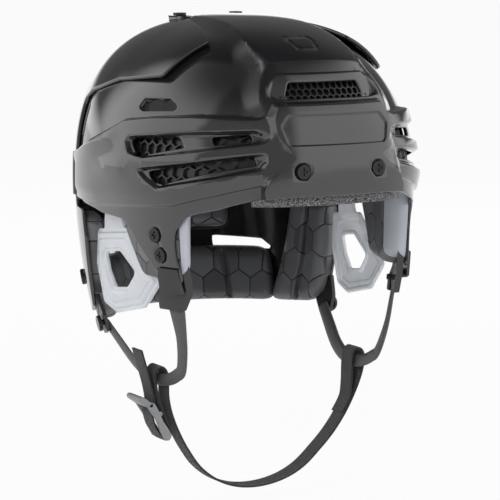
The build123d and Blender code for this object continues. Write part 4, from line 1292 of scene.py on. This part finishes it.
# Finishes of the CAD nodes whose shape stays
black_steel = material("black_steel", (0.02, 0.02, 0.022), 0.22, (300.0, 0.16, 0.28), Metallic=0.4)
trim_foam = material("trim_foam", (0.05, 0.05, 0.052), 0.8, (500.0, 0.7, 0.9))
FLECK_ENDS = ((0.42, (0.012, 0.012, 0.013, 1)), (0.62, (0.30, 0.30, 0.31, 1)))
trim_tree = trim_foam.node_tree
flecks = node(trim_tree, "ValToRGB", noise(trim_tree, 1400.0, 1.0))
for element, (position, color) in zip(flecks.color_ramp.elements, FLECK_ENDS):
    element.position = position
    element.color = color
put(trim_tree, trim_tree.nodes["Principled BSDF"].inputs["Base Color"], flecks.outputs["Color"])
PAIRS = ("_right", "_left")
finishes = {
    black_steel: ["visor_screws", "size_screws", "visor_nuts", "size_nuts"]
    + [kind + end for kind in ("side_screws", "side_nuts", "strap_stud", "rear_stud") for end in PAIRS],
    fitting: [kind + end for kind in ("front_strap_anchor", "rear_strap_anchor") for end in PAIRS],
    clear_plate: ["ear_guard_posts" + end for end in PAIRS],
    trim_foam: ["brow_trim"],
}
for finish, names in finishes.items():
    for node_name in names:
        for material_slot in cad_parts[node_name].material_slots:
            material_slot.material = finish

# Studio
FLOOR_GAP = 0.012
FLOOR_GLOW = 0.92
bpy.ops.mesh.primitive_plane_add(size=160, location=(0, 0, cad_box[0][2] - FLOOR_GAP))
floor = bpy.context.object
floor.name = "floor"
floor_mat = material("floor", (0.97, 0.97, 0.97), 0.9)
floor_tree = floor_mat.node_tree
rays = node(floor_tree, "LightPath").outputs
seen_ray = maths(floor_tree, "MAXIMUM", rays["Is Camera Ray"], rays["Is Glossy Ray"])
any_ray = maths(floor_tree, "MAXIMUM", seen_ray, rays["Is Transmission Ray"])
white_floor = node(
    floor_tree, "MixShader", maths(floor_tree, "MULTIPLY", any_ray, FLOOR_GLOW),
    floor_tree.nodes["Principled BSDF"].outputs["BSDF"],
    node(floor_tree, "Emission", Strength=1.0).outputs["Emission"],
)
put(floor_tree, floor_tree.nodes["Material Output"].inputs["Surface"], white_floor.outputs["Shader"])
floor.data.materials.append(floor_mat)

# World: bright round the horizon, dark overhead and in the sector ahead of the helmet's right front
BRIGHT = 1.35
DARK_MIDDLE = radians(-40.0)
BACK_MIDDLE = radians(-30.0)
world = bpy.data.worlds.new("studio")
bpy.context.scene.world = world
world.use_nodes = True
world_tree = world.node_tree
background = world_tree.nodes["Background"]
background.inputs["Color"].default_value = (1, 1, 1, 1)
world_maths = partial(maths, world_tree)
world_ramp = partial(smooth_range, world_tree)


def turn_off(across, ahead, middle):
    """How far a direction lies from the middle of a sector, in radians."""
    turn = world_maths("ARCTAN2", across, ahead)
    return world_maths("ABSOLUTE", world_maths("SUBTRACT", turn, middle))


facing = node(world_tree, "SeparateXYZ", node(world_tree, "TexCoord").outputs["Generated"]).outputs
height_shade = world_ramp(facing["Z"], 0.50, 0.94, BRIGHT, 0.10)
off_middle = turn_off(facing["X"], world_maths("MULTIPLY", facing["Y"], -1.0), DARK_MIDDLE)
sector = world_ramp(off_middle, 0.66, 0.86, 0.30, 1.0)
off_back = turn_off(world_maths("MULTIPLY", facing["X"], -1.0), facing["Y"], BACK_MIDDLE)
back_sector = world_ramp(off_back, 0.70, 1.0, 0.10, 1.0)
low_free = world_ramp(facing["Z"], 0.02, 0.16, 1.0, 0.0)
sectors = world_maths("MULTIPLY", sector, world_maths("MAXIMUM", back_sector, low_free))
shade = world_maths("MULTIPLY", height_shade, sectors)
seen = node(world_tree, "LightPath").outputs
seen_white = world_maths("MAXIMUM", seen["Is Camera Ray"], seen["Is Transmission Ray"])
put(world_tree, background.inputs["Strength"], world_maths("MAXIMUM", shade, seen_white))


def softbox(name, place, target, size, power):
    data = bpy.data.lights.new(name, "AREA")
    data.shape = "RECTANGLE"
    data.size, data.size_y = size
    data.energy = power
    lamp = bpy.data.objects.new(name, data)
    bpy.context.collection.objects.link(lamp)
    lamp.location = place
    lamp.rotation_euler = (Vector(target) - Vector(place)).to_track_quat("-Z", "Y").to_euler()
    lamp.visible_glossy = False
    return lamp


softbox("key", (-1.6, -1.3, 1.1), (0, 0, 0), (1.0, 0.8), 16)
softbox("front", (0.9, -1.8, 0.6), (0, 0, 0), (0.9, 0.7), 8)
softbox("rim", (0.9, 1.4, 1.0), (0, 0, 0), (1.0, 0.6), 8)

# Camera, fitted to the photograph
CAMERA_TURN = radians(-28.5)
CAMERA_TILT = radians(7.9)
CAMERA_DISTANCE = 2.0
CAMERA_TARGET = Vector((99.1, 165.8, -78.6)) * MM
FOCAL_PIXELS = 2610.0
PHOTO_SIDE = 500.0
SENSOR = 36.0
back = Vector((sin(CAMERA_TURN) * cos(CAMERA_TILT), -cos(CAMERA_TURN) * cos(CAMERA_TILT), sin(CAMERA_TILT)))
camera_data = bpy.data.cameras.new("camera")
camera = bpy.data.objects.new("camera", camera_data)
bpy.context.collection.objects.link(camera)
camera.location = CAMERA_TARGET + back * CAMERA_DISTANCE
camera.rotation_euler = back.to_track_quat("Z", "Y").to_euler()
camera_data.sensor_width = SENSOR
camera_data.sensor_height = SENSOR
camera_data.lens = FOCAL_PIXELS / PHOTO_SIDE * SENSOR
camera_data.clip_end = 50
bpy.context.scene.camera = camera
bpy.context.scene.view_settings.view_transform = "Standard"
